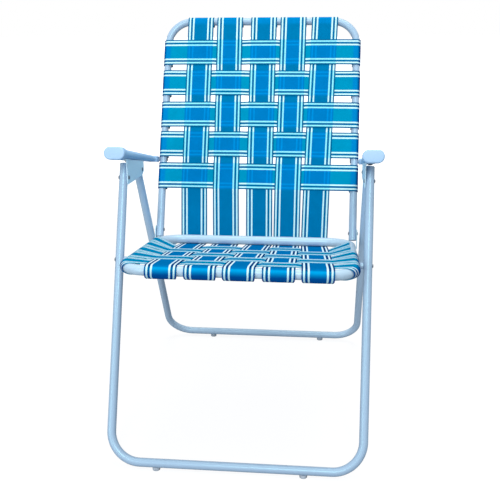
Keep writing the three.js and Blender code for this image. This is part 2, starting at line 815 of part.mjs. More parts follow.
// Points of a strap that passes over or under others: it keeps its level across each
function weavePoints(places, lifts, level) {
  const points = [];
  const reach = strapWidth / 2 + weaveGap;
  places.forEach((place, index) => {
    for (const edge of [place - reach, place + reach]) {
      points.push([edge, level(edge) + lifts[index] * weaveLift]);
    }
  });
  return points;
}

// Over or under for each crossing: odd straps down pass under odd straps across the back
const backCrossPlaces = backCrossDriftShares.map(
  (share, index) => backLowerGap + strapWidth / 2 + index * backCrossPitch + share * backCrossSpacing,
);
const seatCrossStart = seatFrontGap + strapWidth / 2 - seatPivotSetback;
const seatCrossPlaces = seatCrossDriftShares.map(
  (share, index) => seatCrossStart + index * seatCrossPitch + share * seatCrossSpacing,
);
const backLift = (down, across) => ((down + across) % 2 === 0 ? -1 : 1);
const seatLift = (down, across) => ((down + across) % 2 === 0 ? 1 : -1);

const onBack = (up, front) => along(along(backPivot, backUp, up), backFront, front);
const backStrapAt = (index, place) =>
  lengthwisePitch * mix(backStrapFootShares[index], backStrapTopShares[index], place / backLength);
const seatStrapAt = (index, place) => {
  const share = (place + seatPivotSetback) / seatDepth;
  return lengthwisePitch * mix(seatStrapFrontShares[index], backStrapFootShares[index], share);
};

// Level of the woven seat: over the front tube, under the rear one
const seatLevel = (place) => mix(seatWrap, -seatWrap, (place + seatPivotSetback) / seatDepth);
const seatSlope = Math.atan2(2 * seatWrap, seatDepth) / degrees;

// Where the back's straps leave the lowest cross strap, and meet the seat's rear tube
const lowestPlace = backCrossPlaces[0] - strapWidth / 2 - weaveGap;
const bendPlace = onBack(lowestPlace, backWrap);
const bendStep = [bendPlace[0] - seatRearTube[0], bendPlace[1] - seatRearTube[1]];
const bendDistance = Math.hypot(bendStep[0], bendStep[1]);
const bendAngle = Math.atan2(bendStep[1], bendStep[0]) / degrees;
const tangentAngle = bendAngle - Math.acos(seatWrap / bendDistance) / degrees;
const tangentPlace = along(seatRearTube, heading(tangentAngle), seatWrap);
const towardBend = unit(tangentPlace, bendPlace);

// The strap moved sideways, by how far along a direction each of its points lies
function slanted(geometry, acrossAt, origin, direction) {
  const places = geometry.attributes.position;
  for (let index = 0; index < places.count; index += 1) {
    const step = [places.getY(index) - origin[0], places.getZ(index) - origin[1]];
    const place = step[0] * direction[0] + step[1] * direction[1];
    places.setX(index, places.getX(index) + acrossAt(place));
  }
  return geometry;
}

function backStrap(index) {
  const lifts = backCrossPlaces.map((_, across) => backLift(index, across));
  const woven = weavePoints(backCrossPlaces, lifts, () => backWrap);
  const line = [
    along(tangentPlace, towardBend, seatStrapRise + strapHingeGap),
    ...woven.map(([up, front]) => onBack(up, front)),
    ...arc(backTop, backWrap, rightAngle - frontLeanAngle + rightAngle, -frontLeanAngle),
    along(onBack(backLength, -backWrap), backUp, -strapTail),
  ];
  const strap = plate(strapOutline(line), -strapWidth / 2, strapWidth / 2);
  return slanted(strap, (height) => backStrapAt(index, height), backPivot, backUp);
}

function seatStrap(index) {
  const lifts = seatCrossPlaces.map((_, across) => seatLift(index, across));
  const woven = weavePoints(seatCrossPlaces, lifts, seatLevel).reverse();
  const line = [
    along(tangentPlace, towardBend, seatStrapRise),
    ...arc(seatRearTube, seatWrap, tangentAngle, -rightAngle - seatFallAngle - seatSlope),
    ...woven.map(([rearward, up]) => onSeat(rearward, up)),
    ...arc(seatFrontTube, seatWrap, rightAngle - seatFallAngle, 3 * rightAngle - seatFallAngle),
    along(onSeat(-seatPivotSetback, -seatWrap), seatRear, seatStrapTail),
  ];
  const strap = plate(strapOutline(line), -strapWidth / 2, strapWidth / 2);
  return slanted(strap, (place) => seatStrapAt(index, place), seatPivot, seatRear);
}

// A strap across: its line runs in X and height over the frame's plane, then gets its width
function crossStrap(line, origin, upward, downward, steps) {
  const outline = new THREE.Shape(strapOutline(line).map((point) => new THREE.Vector2(...point)));
  const strap = new THREE.ExtrudeGeometry(outline, { depth: strapWidth, steps, bevelEnabled: false });
  const axes = [new THREE.Vector3(1, 0, 0), spot(0, upward), spot(0, downward)];
  strap.translate(0, 0, -strapWidth / 2);
  strap.applyMatrix4(new THREE.Matrix4().makeBasis(...axes));
  strap.translate(0, origin[0], origin[1]);
  return strap;
}

// Angle at which a line from a place touches a circle, on the given side of it
function touchAngle(centre, radius, from, side) {
  const step = [from[0] - centre[0], from[1] - centre[1]];
  const toward = Math.atan2(step[1], step[0]);
  return (toward + side * Math.acos(radius / Math.hypot(step[0], step[1]))) / degrees;
}

// The line of a cross strap: tail, wrap round one side tube, weave, wrap and tail
function crossLine(halfWidth, wrap, woven) {
  const leftTouch = touchAngle([-halfWidth, 0], wrap, woven[0], 1);
  const rightTouch = touchAngle([halfWidth, 0], wrap, woven[woven.length - 1], -1);
  const turned = (angle) => (angle < 0 ? angle + 4 * rightAngle : angle);
  return [
    [-halfWidth + strapTail, -wrap],
    ...arc([-halfWidth, 0], wrap, -rightAngle, leftTouch - 4 * rightAngle),
    ...woven,
    ...arc([halfWidth, 0], wrap, turned(rightTouch), -rightAngle),
    [halfWidth - strapTail, -wrap],
  ];
}

function backCrossStrap(across) {
  const place = backCrossPlaces[across];
  const places = backStrapTopShares.map((_, index) => backStrapAt(index, place));
  const lifts = places.map((_, index) => -backLift(index, across));
  const woven = weavePoints(places, lifts, () => backWrap);
  const line = crossLine(backHalfWidth, backWrap, woven);
  const strap = crossStrap(line, onBack(place, 0), backFront, opposite(backUp), 1);
  const washerRadius = armWasherRadius + restGap;
  return cut(strap, [crossBar(washerRadius, holeSides, -legSpan, legSpan, armRearPivot)]);
}

// How far the seat's side tube has turned inward at a place, and by what angle
function seatCorner(place) {
  const intoFront = seatFrontBend - seatPivotSetback - place;
  const intoRear = place - seatRearPlace + seatRearBend;
  const radius = intoFront > 0 ? seatFrontBend : seatRearBend;
  const into = Math.max(intoFront, intoRear, 0);
  const run = Math.sqrt(radius ** 2 - into ** 2);
  return { inset: radius - run, stretch: radius / run };
}

// On the seat a cross strap also tips to the woven level and follows the loop's corners
function seatCrossStrap(across) {
  const place = seatCrossPlaces[across];
  const places = seatStrapFrontShares.map((_, index) => seatStrapAt(index, place));
  const lifts = places.map((_, index) => -seatLift(index, across));
  const woven = weavePoints(places, lifts, () => seatLevel(place));
  const line = crossLine(seatHalfWidth, seatWrap, woven);
  const edges = [seatCorner(place - strapWidth / 2), seatCorner(place + strapWidth / 2)];
  const steps = edges[0].inset + edges[1].inset > 0 ? strapCornerSteps : 1;
  const origin = onSeat(place, 0);
  const strap = crossStrap(line, origin, seatUp, opposite(seatRear), steps);
  const levelPerRun = (seatLevel(strapWidth) - seatLevel(0)) / strapWidth;
  const wovenReach = seatHalfWidth - strapTail * 2;
  const spots = strap.attributes.position;
  for (let index = 0; index < spots.count; index += 1) {
    const reach = Math.abs(spots.getX(index));
    const step = [spots.getY(index) - origin[0], spots.getZ(index) - origin[1]];
    const rearward = step[0] * seatRear[0] + step[1] * seatRear[1];
    if (reach <= wovenReach) {
      spots.setY(index, spots.getY(index) + seatUp[0] * rearward * levelPerRun);
      spots.setZ(index, spots.getZ(index) + seatUp[1] * rearward * levelPerRun);
    } else {
      const { inset, stretch } = seatCorner(place + rearward);
      const moved = seatHalfWidth - inset + (reach - seatHalfWidth) * stretch;
      spots.setX(index, Math.sign(spots.getX(index)) * moved);
    }
  }
  return cut(strap, [pivotBarAcross(seatPivot)]);
}

for (let index = 0; index < backStrapTopShares.length; index += 1) {
  addMesh(`back_strap_${index + 1}`, backStrap(index), webbingDown);
}
for (let index = 0; index < seatStrapFrontShares.length; index += 1) {
  addMesh(`seat_strap_${index + 1}`, seatStrap(index), webbingDown);
}
for (let index = 0; index < backCrossPlaces.length; index += 1) {
  addMesh(`back_cross_strap_${index + 1}`, backCrossStrap(index), webbingAcross);
}
for (let index = 0; index < seatCrossPlaces.length; index += 1) {
  addMesh(`seat_cross_strap_${index + 1}`, seatCrossStrap(index), webbingAcross);
}

export default group;
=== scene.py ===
import json
import logging
import math
from dataclasses import dataclass, field
from enum import Enum
from typing import Sequence

import bpy
import numpy as np
from mathutils import Euler, Matrix


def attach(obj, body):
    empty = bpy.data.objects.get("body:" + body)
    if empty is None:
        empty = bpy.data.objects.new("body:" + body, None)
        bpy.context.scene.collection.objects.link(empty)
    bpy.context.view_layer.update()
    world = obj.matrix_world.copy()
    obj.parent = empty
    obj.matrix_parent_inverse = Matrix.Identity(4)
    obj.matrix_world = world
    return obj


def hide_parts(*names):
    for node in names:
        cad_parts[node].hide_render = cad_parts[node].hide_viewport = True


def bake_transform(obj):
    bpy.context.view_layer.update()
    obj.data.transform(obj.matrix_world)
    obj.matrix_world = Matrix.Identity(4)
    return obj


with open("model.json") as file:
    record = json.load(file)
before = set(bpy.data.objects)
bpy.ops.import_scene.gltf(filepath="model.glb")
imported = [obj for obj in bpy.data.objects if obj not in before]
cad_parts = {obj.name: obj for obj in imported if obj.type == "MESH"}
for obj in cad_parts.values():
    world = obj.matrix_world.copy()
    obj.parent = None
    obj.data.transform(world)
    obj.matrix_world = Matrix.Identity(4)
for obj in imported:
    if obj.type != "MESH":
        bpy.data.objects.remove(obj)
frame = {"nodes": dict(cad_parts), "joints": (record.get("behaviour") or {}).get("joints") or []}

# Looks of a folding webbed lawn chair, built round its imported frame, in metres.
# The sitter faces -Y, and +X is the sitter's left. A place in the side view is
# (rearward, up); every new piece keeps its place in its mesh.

LOG = logging.getLogger("lawn_chair")
MM = 0.001
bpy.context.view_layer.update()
HANDS = ((1.0, "left"), (-1.0, "right"))
Array = np.ndarray
Numbers = Array | float
Material, Socket = bpy.types.Material, bpy.types.NodeSocket


# --- directions


def heading(degrees: Numbers) -> Array:
    """Unit directions in the side view at angles above rearward.

    Args:
        degrees: the angles, counter-clockwise.

    Returns:
        Each direction as (rearward, up): cosine and sine of the angle.
    """
    angles = np.radians(degrees)
    return np.stack([np.cos(angles), np.sin(angles)], -1)


def left_turn(direction: Array) -> Array:
    """Side view direction turned by a quarter turn counter-clockwise."""
    return np.array([-direction[1], direction[0]])


def unit(vectors: Array) -> Array:
    """Vectors, one or a row each, brought to length 1."""
    return vectors / np.linalg.norm(vectors, axis=-1, keepdims=True)


def in_space(across: Numbers, places: Array) -> Array:
    """Puts side view places into space.

    Args:
        across: X of each place, or one X for all.
        places: rows of (rearward, up).

    Returns:
        Rows of (x, y, z).
    """
    places = np.atleast_2d(places)
    return np.column_stack([np.broadcast_to(across, len(places)), places])


def rising(at: Array, start: float, run: float) -> Array:
    """Straight rise from 0 at the start to 1 a run further on, held there."""
    return np.clip((at - start) / run, 0, 1)


def eased(at: Array, knots: Array, levels: Array) -> Array:
    """Level between knots, flat at each knot.

    Formula: with t the share of the way from one knot to the next, the level is
    the first one plus the difference times 3 t squared minus 2 t cubed.

    Args:
        at: places to work out.
        knots: rising places of the knots.
        levels: level at each knot.

    Returns:
        The level at each place.
    """
    after = np.clip(np.searchsorted(knots, at), 1, len(knots) - 1)
    run = np.maximum(knots[after] - knots[after - 1], 1e-9)
    share = rising(at, knots[after - 1], run)
    rise = share * share * (3 - 2 * share)
    return levels[after - 1] + (levels[after] - levels[after - 1]) * rise


def arc(centre: Array, radius: float, start: float, end: float, steps: int) -> Array:
    """Points of an arc in the side view.

    Args:
        centre: centre of the circle.
        radius: its radius.
        start: first angle in degrees.
        end: last angle in degrees.
        steps: how many chords it has.

    Returns:
        Rows of (rearward, up): the centre plus the radius times the heading.
    """
    return centre + radius * heading(np.linspace(start, end, steps + 1))


def spaced(start: Array, end: Array, step: float) -> Array:
    """Points of a straight run, both ends left out.

    Args:
        start: where it starts.
        end: where it ends.
        step: the spacing to aim at.

    Returns:
        Evenly spaced points strictly between the two ends.
    """
    start, end = np.asarray(start), np.asarray(end)
    count = max(int(np.linalg.norm(end - start) / step), 1)
    shares = np.linspace(0, 1, count + 1)[1:-1, None]
    return start * (1 - shares) + end * shares


def run_lengths(line: Array) -> Array:
    """Length run along a line at each of its points."""
    return np.concatenate([[0], np.cumsum(np.linalg.norm(np.diff(line, axis=0), axis=1))])


def touch_angle(centre: Array, radius: float, start: Array, side: float) -> float:
    """Angle at which a line from a point touches a circle.

    Formula: the angle toward the point, plus or minus the angle whose cosine is
    the radius over the distance.

    Args:
        centre: centre of the circle.
        radius: its radius.
        start: the point.
        side: 1 for plus, -1 for minus.

    Returns:
        The angle in degrees.
    """
    step = np.subtract(start, centre)
    toward = math.atan2(step[1], step[0])
    return math.degrees(toward + side * math.acos(radius / math.hypot(*step)))


# --- skeleton


@dataclass(frozen=True)
class Skeleton:
    """The chair's pivots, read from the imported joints, and its leading sizes."""

    arm_pivot: Array
    seat_pivot: Array
    back_pivot: Array
    rear_leg_pivot: Array
    front_lean: float = 24.4
    rear_lean: float = 28.9
    seat_fall: float = 8.5
    arm_fall: float = 13.6
    rail_height: float = 13 * MM
    front_tube: float = -94.3 * MM
    seat_depth: float = 352.95 * MM
    back_length: float = 469.95 * MM
    seat_half: float = 204.482 * MM
    back_half: float = 208.475 * MM
    thin_tube: float = 8 * MM
    seat_tube: float = 9.5 * MM
    front_bend: float = 48 * MM
    rear_bend: float = 55 * MM

    @classmethod
    def from_joints(cls, joints: Sequence[dict]) -> "Skeleton":
        """Build it from the frame's joints.

        Args:
            joints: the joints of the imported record.

        Returns:
            The skeleton with its four pivots.
        """
        at = {joint["name"]: np.array(joint["pos_m"][1:]) for joint in joints}
        return cls(at["arm_fold"], at["seat_fold"], at["back_fold"], at["rear_leg_fold"])

    @property
    def rear_tube(self) -> float:
        """Distance along the seat from its pivot to its rear tube."""
        return self.seat_depth + self.front_tube

    @property
    def front_up(self) -> Array:
        """Direction up the front legs, and up the back."""
        return heading(90 - self.front_lean)

    @property
    def rear_up(self) -> Array:
        """Direction up the rear legs."""
        return heading(90 + self.rear_lean)

    @property
    def seat_rear(self) -> Array:
        """Direction rearward along the seat."""
        return heading(-self.seat_fall)

    @property
    def seat_up(self) -> Array:
        """Direction square to the seat's plane."""
        return left_turn(self.seat_rear)

    @property
    def back_front(self) -> Array:
        """Direction forward, square to the back's plane."""
        return left_turn(self.front_up)

    @property
    def arm_front(self) -> Array:
        """Direction forward along the armrests."""
        return heading(180 - self.arm_fall)

    @property
    def arm_up(self) -> Array:
        """Direction square to the armrests' axis."""
        return -left_turn(self.arm_front)

    @property
    def arm_rear_pivot(self) -> Array:
        """Where the armrests turn on the back, the linkage's fourth corner."""
        return self.arm_pivot + self.back_pivot - self.seat_pivot

    def rail(self, pivot: Array, up: Array) -> Array:
        """Middle of a floor rail in the side view.

        Args:
            pivot: a place on its legs.
            up: direction up its legs.

        Returns:
            The place down the legs at the rails' height.
        """
        return pivot - up * (pivot[1] - self.rail_height) / up[1]

    def on_seat(self, rearward: Numbers, up: Numbers) -> Array:
        """Places over the seat's plane of tubes, measured from the seat's pivot."""
        along = np.multiply.outer(rearward, self.seat_rear)
        return self.seat_pivot + along + np.multiply.outer(up, self.seat_up)

    def on_back(self, up: Numbers, front: Numbers) -> Array:
        """Places in front of the back's plane of tubes, measured from its pivot."""
        along = np.multiply.outer(up, self.front_up)
        return self.back_pivot + along + np.multiply.outer(front, self.back_front)

    def on_arm(self, forward: Numbers, up: Numbers) -> Array:
        """Places over the armrests' axis, measured from their rear pivot."""
        along = np.multiply.outer(forward, self.arm_front)
        return self.arm_rear_pivot + along + np.multiply.outer(up, self.arm_up)


BONES = Skeleton.from_joints(frame["joints"])


# --- surfaces


@dataclass
class Surface:
    """A grid of points closed along its columns, and what is painted on it."""

    points: Array
    loop_rows: bool = False
    capped: bool = True
    uv: Array | None = None
    marks: dict[str, Array] = field(default_factory=dict)

    def faces(self) -> list[tuple[int, ...]]:
        """Quads of the grid, and its two end caps where it has them.

        Returns:
            Corner indices of each face.
        """
        rows, columns = self.points.shape[:2]
        index = np.arange(rows * columns).reshape(rows, columns)
        down = index if self.loop_rows else index[:-1]
        below = np.roll(index, -1, 0)[: len(down)]
        quads = np.stack([down, np.roll(down, -1, 1), np.roll(below, -1, 1), below], -1)
        made = [tuple(quad) for quad in quads.reshape(-1, 4).tolist()]
        if self.capped and not self.loop_rows:
            made += [tuple(index[0][::-1].tolist()), tuple(index[-1].tolist())]
        return made

    def on_side(self, side: float) -> "Surface":
        """The surface for the left side, or its mirror image for the right one.

        Args:
            side: 1 for the left, -1 for the right.

        Returns:
            The surface, without UV or marks where it is mirrored.
        """
        if side > 0:
            return self
        flipped = self.points[:, ::-1] * np.array([-1.0, 1.0, 1.0])
        return Surface(flipped, self.loop_rows, self.capped)


def outward(mesh: bpy.types.Mesh) -> None:
    """Turns a closed mesh's faces out where its signed volume is negative.

    Args:
        mesh: the mesh.
    """
    mesh.calc_loop_triangles()
    corners = np.empty(len(mesh.loop_triangles) * 3, np.int32)
    mesh.loop_triangles.foreach_get("vertices", corners)
    places = np.empty(len(mesh.vertices) * 3)
    mesh.vertices.foreach_get("co", places)
    first, second, third = places.reshape(-1, 3)[corners.reshape(-1, 3)].transpose(1, 0, 2)
    if np.einsum("ij,ij->i", first, np.cross(second, third)).sum() < 0:
        mesh.flip_normals()


def paint(mesh: bpy.types.Mesh, surface: Surface) -> None:
    """Gives a mesh made of one surface its UV map and its marks.

    Args:
        mesh: the mesh, its points in the surface's order.
        surface: the surface.
    """
    loops = np.empty(len(mesh.loops), np.int32)
    mesh.loops.foreach_get("vertex_index", loops)
    layer = mesh.uv_layers.new(name="strap")
    layer.data.foreach_set("uv", surface.uv.reshape(-1, 2)[loops].astype(np.float32).ravel())
    for mark, values in surface.marks.items():
        attribute = mesh.attributes.new(mark, "FLOAT", "POINT")
        attribute.data.foreach_set("value", values.astype(np.float32).ravel())


def make_piece(
    name: str, surfaces: Sequence[Surface], material: Material, sharp: float = 40.0
) -> bpy.types.Object:
    """Makes one object of several surfaces.

    Args:
        name: the piece's name.
        surfaces: closed grids, each turned outward by itself.
        material: its finish.
        sharp: edges sharper than this many degrees stay crisp.

    Returns:
        The object, at the origin, linked to the scene.
    """
    corners: list[tuple[int, ...]] = []
    count = 0
    for surface in surfaces:
        part = bpy.data.meshes.new(name)
        part.from_pydata(surface.points.reshape(-1, 3).tolist(), [], surface.faces())
        outward(part)
        corners += [tuple(v + count for v in face.vertices) for face in part.polygons]
        count += len(part.vertices)
        bpy.data.meshes.remove(part)
    mesh = bpy.data.meshes.new(name)
    points = np.concatenate([surface.points.reshape(-1, 3) for surface in surfaces])
    mesh.from_pydata(points.tolist(), [], corners)
    if surfaces[0].uv is not None:
        paint(mesh, surfaces[0])
    mesh.validate()
    mesh.shade_smooth()
    mesh.set_sharp_from_angle(angle=math.radians(sharp))
    mesh.materials.append(material)
    piece = bpy.data.objects.new(name, mesh)
    bpy.context.scene.collection.objects.link(piece)
    return piece


def ride(piece: bpy.types.Object, body: str, slot: str, *nodes: str) -> bpy.types.Object:
    """Puts a finished piece on its body.

    Args:
        piece: the piece.
        body: the CAD body that it moves with.
        slot: the record's material slot; not used.
        nodes: the CAD nodes that it stands for.

    Returns:
        The same piece.
    """
    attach(piece, body)
    if nodes:
        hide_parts(*nodes)
    LOG.info("%s rides on %s", piece.name, body)
    return piece


@dataclass(frozen=True)
class Twin:
    """A piece of the left side whose mirror image stands on the right side.

    Attributes:
        name: the piece's name, with {} where the side's name goes.
        node: the CAD node's name, written the same way.
        form: its surface on the left side.
        material: its finish.
        slot: the record's material slot.
    """

    name: str
    node: str
    form: Surface
    material: Material
    slot: str


def mount(body: str, *twins: Twin) -> None:
    """Makes pieces on the left and then on the right side.

    Args:
        body: the CAD body that they move with.
        twins: the pieces.
    """
    for side, hand in HANDS:
        for twin in twins:
            forms = [twin.form.on_side(side)]
            piece = make_piece(twin.name.format(hand), forms, twin.material)
            ride(piece, body, twin.slot, twin.node.format(hand))


# --- forms

TUBE_WALL = 1 * MM
TUBE_SIDES = 40
RIM_SHARE = 0.35
SHEET_SOFTENING = 0.22
RIVET_HEAD = 3.8 * MM
RIVET_RISE = 1.4 * MM
# Height and radius up a form turned about an axis.
PAN_HEAD = MM * np.array([
    [0.0, 1.8], [0.0, 3.9], [0.25, 4.0], [0.7, 3.95], [1.2, 3.6], [1.6, 2.9],
    [1.8, 2.1], [1.8, 1.35], [1.1, 1.0], [1.0, 0.3],
])
BUTTON_FOOT = MM * np.array([
    [0.0, 1.5], [0.0, 6.1], [0.25, 6.7], [0.9, 7.0], [3.52, 7.0], [3.84, 6.6],
    [4.352, 7.0], [6.4, 6.9], [6.4, 1.5],
])


def bent_path(corners: Array, radii: Sequence[float], steps: int) -> tuple[Array, Array]:
    """Points and headings of a path with rounded corners.

    Formula: at each corner an arc of the given radius touches both runs, so it
    starts a length of radius times the tangent of half the turn before it.

    Args:
        corners: the two ends and the corners between them.
        radii: radius at each corner.
        steps: chords in each arc.

    Returns:
        The points, and the unit heading at each.
    """
    runs = unit(np.diff(corners, axis=0))
    points, headings = [corners[:1]], [runs[:1]]
    for before, after, corner, radius in zip(runs[:-1], runs[1:], corners[1:-1], radii):
        turn = math.acos(np.clip(before @ after, -1, 1))
        inward = unit(after - before * (before @ after))
        start = corner - before * radius * math.tan(turn / 2)
        angles = np.linspace(0, turn, steps + 1)[:, None]
        points.append(start + radius * (before * np.sin(angles) + inward * (1 - np.cos(angles))))
        headings.append(before * np.cos(angles) + inward * np.sin(angles))
    return np.concatenate([*points, corners[-1:]]), np.concatenate([*headings, runs[-1:]])


def circle(first: Array, second: Array, sides: int) -> Array:
    """Points of unit circles, each by cosine times one direction plus sine times another."""
    angles = np.linspace(0, 2 * math.pi, sides, endpoint=False)[None, :, None]
    return np.cos(angles) * first + np.sin(angles) * second


def hollow_tube(corners: Array, bends: Sequence[float], radius: float, steps: int) -> Surface:
    """A bent tube with open rounded ends, as one surface closed both ways.

    Formula: the profile runs along the outside, over one rim, back along the
    inside and over the other rim; each of its rows is a circle round the path,
    with cosine times the path plane's normal plus sine times the side direction.

    Args:
        corners: ends and corners of the middle line, in one plane.
        bends: radius of the middle line at each corner.
        radius: outer radius.
        steps: chords in each bend.

    Returns:
        The closed surface.
    """
    centres, headings = bent_path(corners, bends, steps)
    rim, bore = TUBE_WALL * RIM_SHARE, radius - TUBE_WALL
    planes = np.cross(headings[0], headings)
    plane = unit(planes[np.argmax(np.linalg.norm(planes, axis=1))])
    side = np.cross(headings, plane)
    middle = centres.copy()
    middle[0] += headings[0] * rim
    middle[-1] -= headings[-1] * rim
    line, sideways = (
        np.concatenate([rows, ends[-1:], ends[-1:], rows[::-1], ends[:1], ends[:1]])
        for rows, ends in ((middle, centres), (side, side))
    )
    rims, count = [radius - rim, bore + rim], len(middle)
    sizes = np.concatenate([[radius] * count, rims, [bore] * count, rims[::-1]])
    ring = circle(plane, sideways[:, None, :], TUBE_SIDES)
    return Surface(line[:, None, :] + sizes[:, None, None] * ring, loop_rows=True, capped=False)


def turned(profile: Array, origin: Array, axis: Array, sides: int = 28) -> Surface:
    """A turned form about an axis.

    Formula: each profile row gives a circle of its radius, its height up the axis.

    Args:
        profile: rows of (height, radius), from one end to the other.
        origin: where the height is zero.
        axis: unit direction of the axis.
        sides: points round it.

    Returns:
        The surface, capped at both ends.
    """
    axis = np.asarray(axis, float)
    helper = np.array([0.0, 0.0, 1.0]) if abs(axis[2]) < 0.9 else np.array([0.0, 1.0, 0.0])
    first = unit(np.cross(axis, helper))
    heights, radii = profile[:, 0, None, None], profile[:, 1, None, None]
    ring = circle(first, np.cross(axis, first), sides)
    return Surface(np.asarray(origin) + heights * axis + radii * ring)


def rivet_profile(grip: float, shank: float) -> Array:
    """Profile of a rivet with two domed heads.

    Formula: a dome's radius is the head's times the sine of an angle, and its
    height the rise times the cosine, over a rim of a fifth of the rise.

    Args:
        grip: length between the heads.
        shank: radius of the shank.

    Returns:
        Rows of (height, radius).
    """
    angles = np.radians(np.array([4, 20, 38, 56, 72, 84]))
    lip = RIVET_RISE * 0.2
    dome = [-lip - (RIVET_RISE - lip) * np.cos(angles), RIVET_HEAD * np.sin(angles)]
    rim = [[-lip * 0.6, RIVET_HEAD], [0, RIVET_HEAD * 0.97], [0, shank]]
    near = np.concatenate([np.column_stack(dome), rim])
    return np.concatenate([near, np.column_stack([grip - near[::-1, 0], near[::-1, 1]])])


def folded(
    edge: Array, fold: Numbers, bend: float, reach: Numbers, counts: tuple
) -> tuple[Array, Array, Array]:
    """A wall that turns through a quarter circle into a flange, column by column.

    Formula: the wall runs straight from its edge to one bend short of the flange's
    height; round the bend the height follows the sine of the turn and the offset
    one minus its cosine; the flange then runs out straight to its reach.

    Args:
        edge: height of the wall's edge in each column.
        fold: height of the flange in each column.
        bend: radius of the quarter circle.
        reach: how far the flange reaches from the wall in each column.
        counts: points up the wall, round the bend and along the flange.

    Returns:
        Height, offset from the wall and tilt of each point, a row for each count.
    """
    wall = np.linspace(0, 1, counts[0])[:, None]
    turn = np.linspace(0, math.pi / 2, counts[1])[1:, None]
    run = np.linspace(0, 1, counts[2])[1:, None]
    start, flat = fold - bend * np.sign(fold - edge), 0 * edge
    round_bend = start + (fold - start) * np.sin(turn)
    heights = np.concatenate([edge + (start - edge) * wall, round_bend, fold + 0 * run + flat])
    out = [0 * wall + flat, bend * (1 - np.cos(turn)) + flat, bend + (reach - bend) * run + flat]
    tilt = np.concatenate([0 * wall, turn, 0 * run + math.pi / 2]) + flat
    return heights, np.concatenate(out), tilt


def sheet_metal(rows: Array, thickness: float, normals: Array) -> Surface:
    """A pressed sheet: a grid surface and its copy a thickness away, closed round.

    Formula: each row runs along the sheet's face and back along the other face,
    which is the first one plus the thickness times its normal. Both faces stop a
    little short of the edge, which softens it.

    Args:
        rows: grid of points on one face, (rows, columns, 3).
        thickness: of the sheet.
        normals: unit normal at each point, away from the first face.

    Returns:
        The closed surface.
    """
    soft = thickness * SHEET_SOFTENING
    inward = np.zeros_like(rows)
    inward[:, 0] = rows[:, 1] - rows[:, 0]
    inward[:, -1] = rows[:, -2] - rows[:, -1]
    lengths = np.maximum(np.linalg.norm(inward, axis=2, keepdims=True), 1e-9)
    near = rows + inward / lengths * soft
    far = near + normals * thickness
    low, high = rows + normals * soft, rows + normals * (thickness - soft)
    rest = [low[:, -1:], high[:, -1:], far[:, ::-1], high[:, :1], low[:, :1]]
    return Surface(np.concatenate([near, *rest], axis=1))


# --- shader


def linear(red: int, green: int, blue: int) -> tuple[float, float, float, float]:
    """Colour as written on a screen made linear.

    Args:
        red: from 0 to 255.
        green: from 0 to 255.
        blue: from 0 to 255.

    Returns:
        Red, green, blue and alpha from 0 to 1.
    """
    shares = np.array([red, green, blue]) / 255
    out = np.where(shares <= 0.04045, shares / 12.92, ((shares + 0.055) / 1.055) ** 2.4)
    return (*out.tolist(), 1.0)


class Value:
    """A number from a shader socket. Arithmetic on it adds Math nodes."""

    def __init__(self, tree: "Tree", socket: Socket) -> None:
        """Wrap a socket of a tree."""
        self.tree = tree
        self.socket = socket

    def _math(self, operation: str, *values: "Value | float", clamp: bool = False) -> "Value":
        """Adds a Math node.

        Args:
            operation: the node's operation.
            values: what its sockets get.
            clamp: whether the result is held between 0 and 1.

        Returns:
            What the node gives.
        """
        settings = {"operation": operation, "use_clamp": clamp}
        node = self.tree.node("ShaderNodeMath", settings, dict(enumerate(values)))
        return Value(self.tree, node.outputs[0])

    def __add__(self, other: "Value | float") -> "Value":
        """Sum."""
        return self._math("ADD", self, other)

    __radd__ = __add__

    def __mul__(self, other: "Value | float") -> "Value":
        """Product."""
        return self._math("MULTIPLY", self, other)

    __rmul__ = __mul__

    def __sub__(self, other: "Value | float") -> "Value":
        """Difference."""
        return self._math("SUBTRACT", self, other)

    def __rsub__(self, other: float) -> "Value":
        """Difference from a number."""
        return self._math("SUBTRACT", other, self)

    def clamped(self) -> "Value":
        """The value held between 0 and 1."""
        return self._math("ADD", self, 0.0, clamp=True)

    def sine(self) -> "Value":
        """Sine of the value in radians."""
        return self._math("SINE", self)


class Tree:
    """A node tree, emptied, with one way to add a node."""

    def __init__(self, tree: bpy.types.NodeTree) -> None:
        """Take over a tree and empty it."""
        self.tree = tree
        self.tree.nodes.clear()

    def node(
        self, kind: str, settings: dict | None = None, inputs: dict | None = None
    ) -> bpy.types.Node:
        """Adds a node.

        Args:
            kind: the node's type.
            settings: its properties, or "stops" for a ramp's (place, colour) pairs.
            inputs: socket name or number, and the value or link that it gets.

        Returns:
            The node.
        """
        node = self.tree.nodes.new(kind)
        for key, value in (settings or {}).items():
            if key == "stops":
                set_stops(node.color_ramp, value)
            else:
                setattr(node, key, value)
        for key, value in (inputs or {}).items():
            source = value.socket if isinstance(value, Value) else value
            if isinstance(source, Socket):
                self.tree.links.new(source, node.inputs[key])
            else:
                node.inputs[key].default_value = source
        return node

    def rays(self, *kinds: str) -> Value:
        """How far a ray is of the given kinds.

        Args:
            kinds: the kinds, as the Light Path node names them.

        Returns:
            1 for a ray of any of them, else 0.
        """
        path = self.node("ShaderNodeLightPath")
        total = Value(self, path.outputs[kinds[0]])
        for kind in kinds[1:]:
            total = total + Value(self, path.outputs[kind])
        return total.clamped()


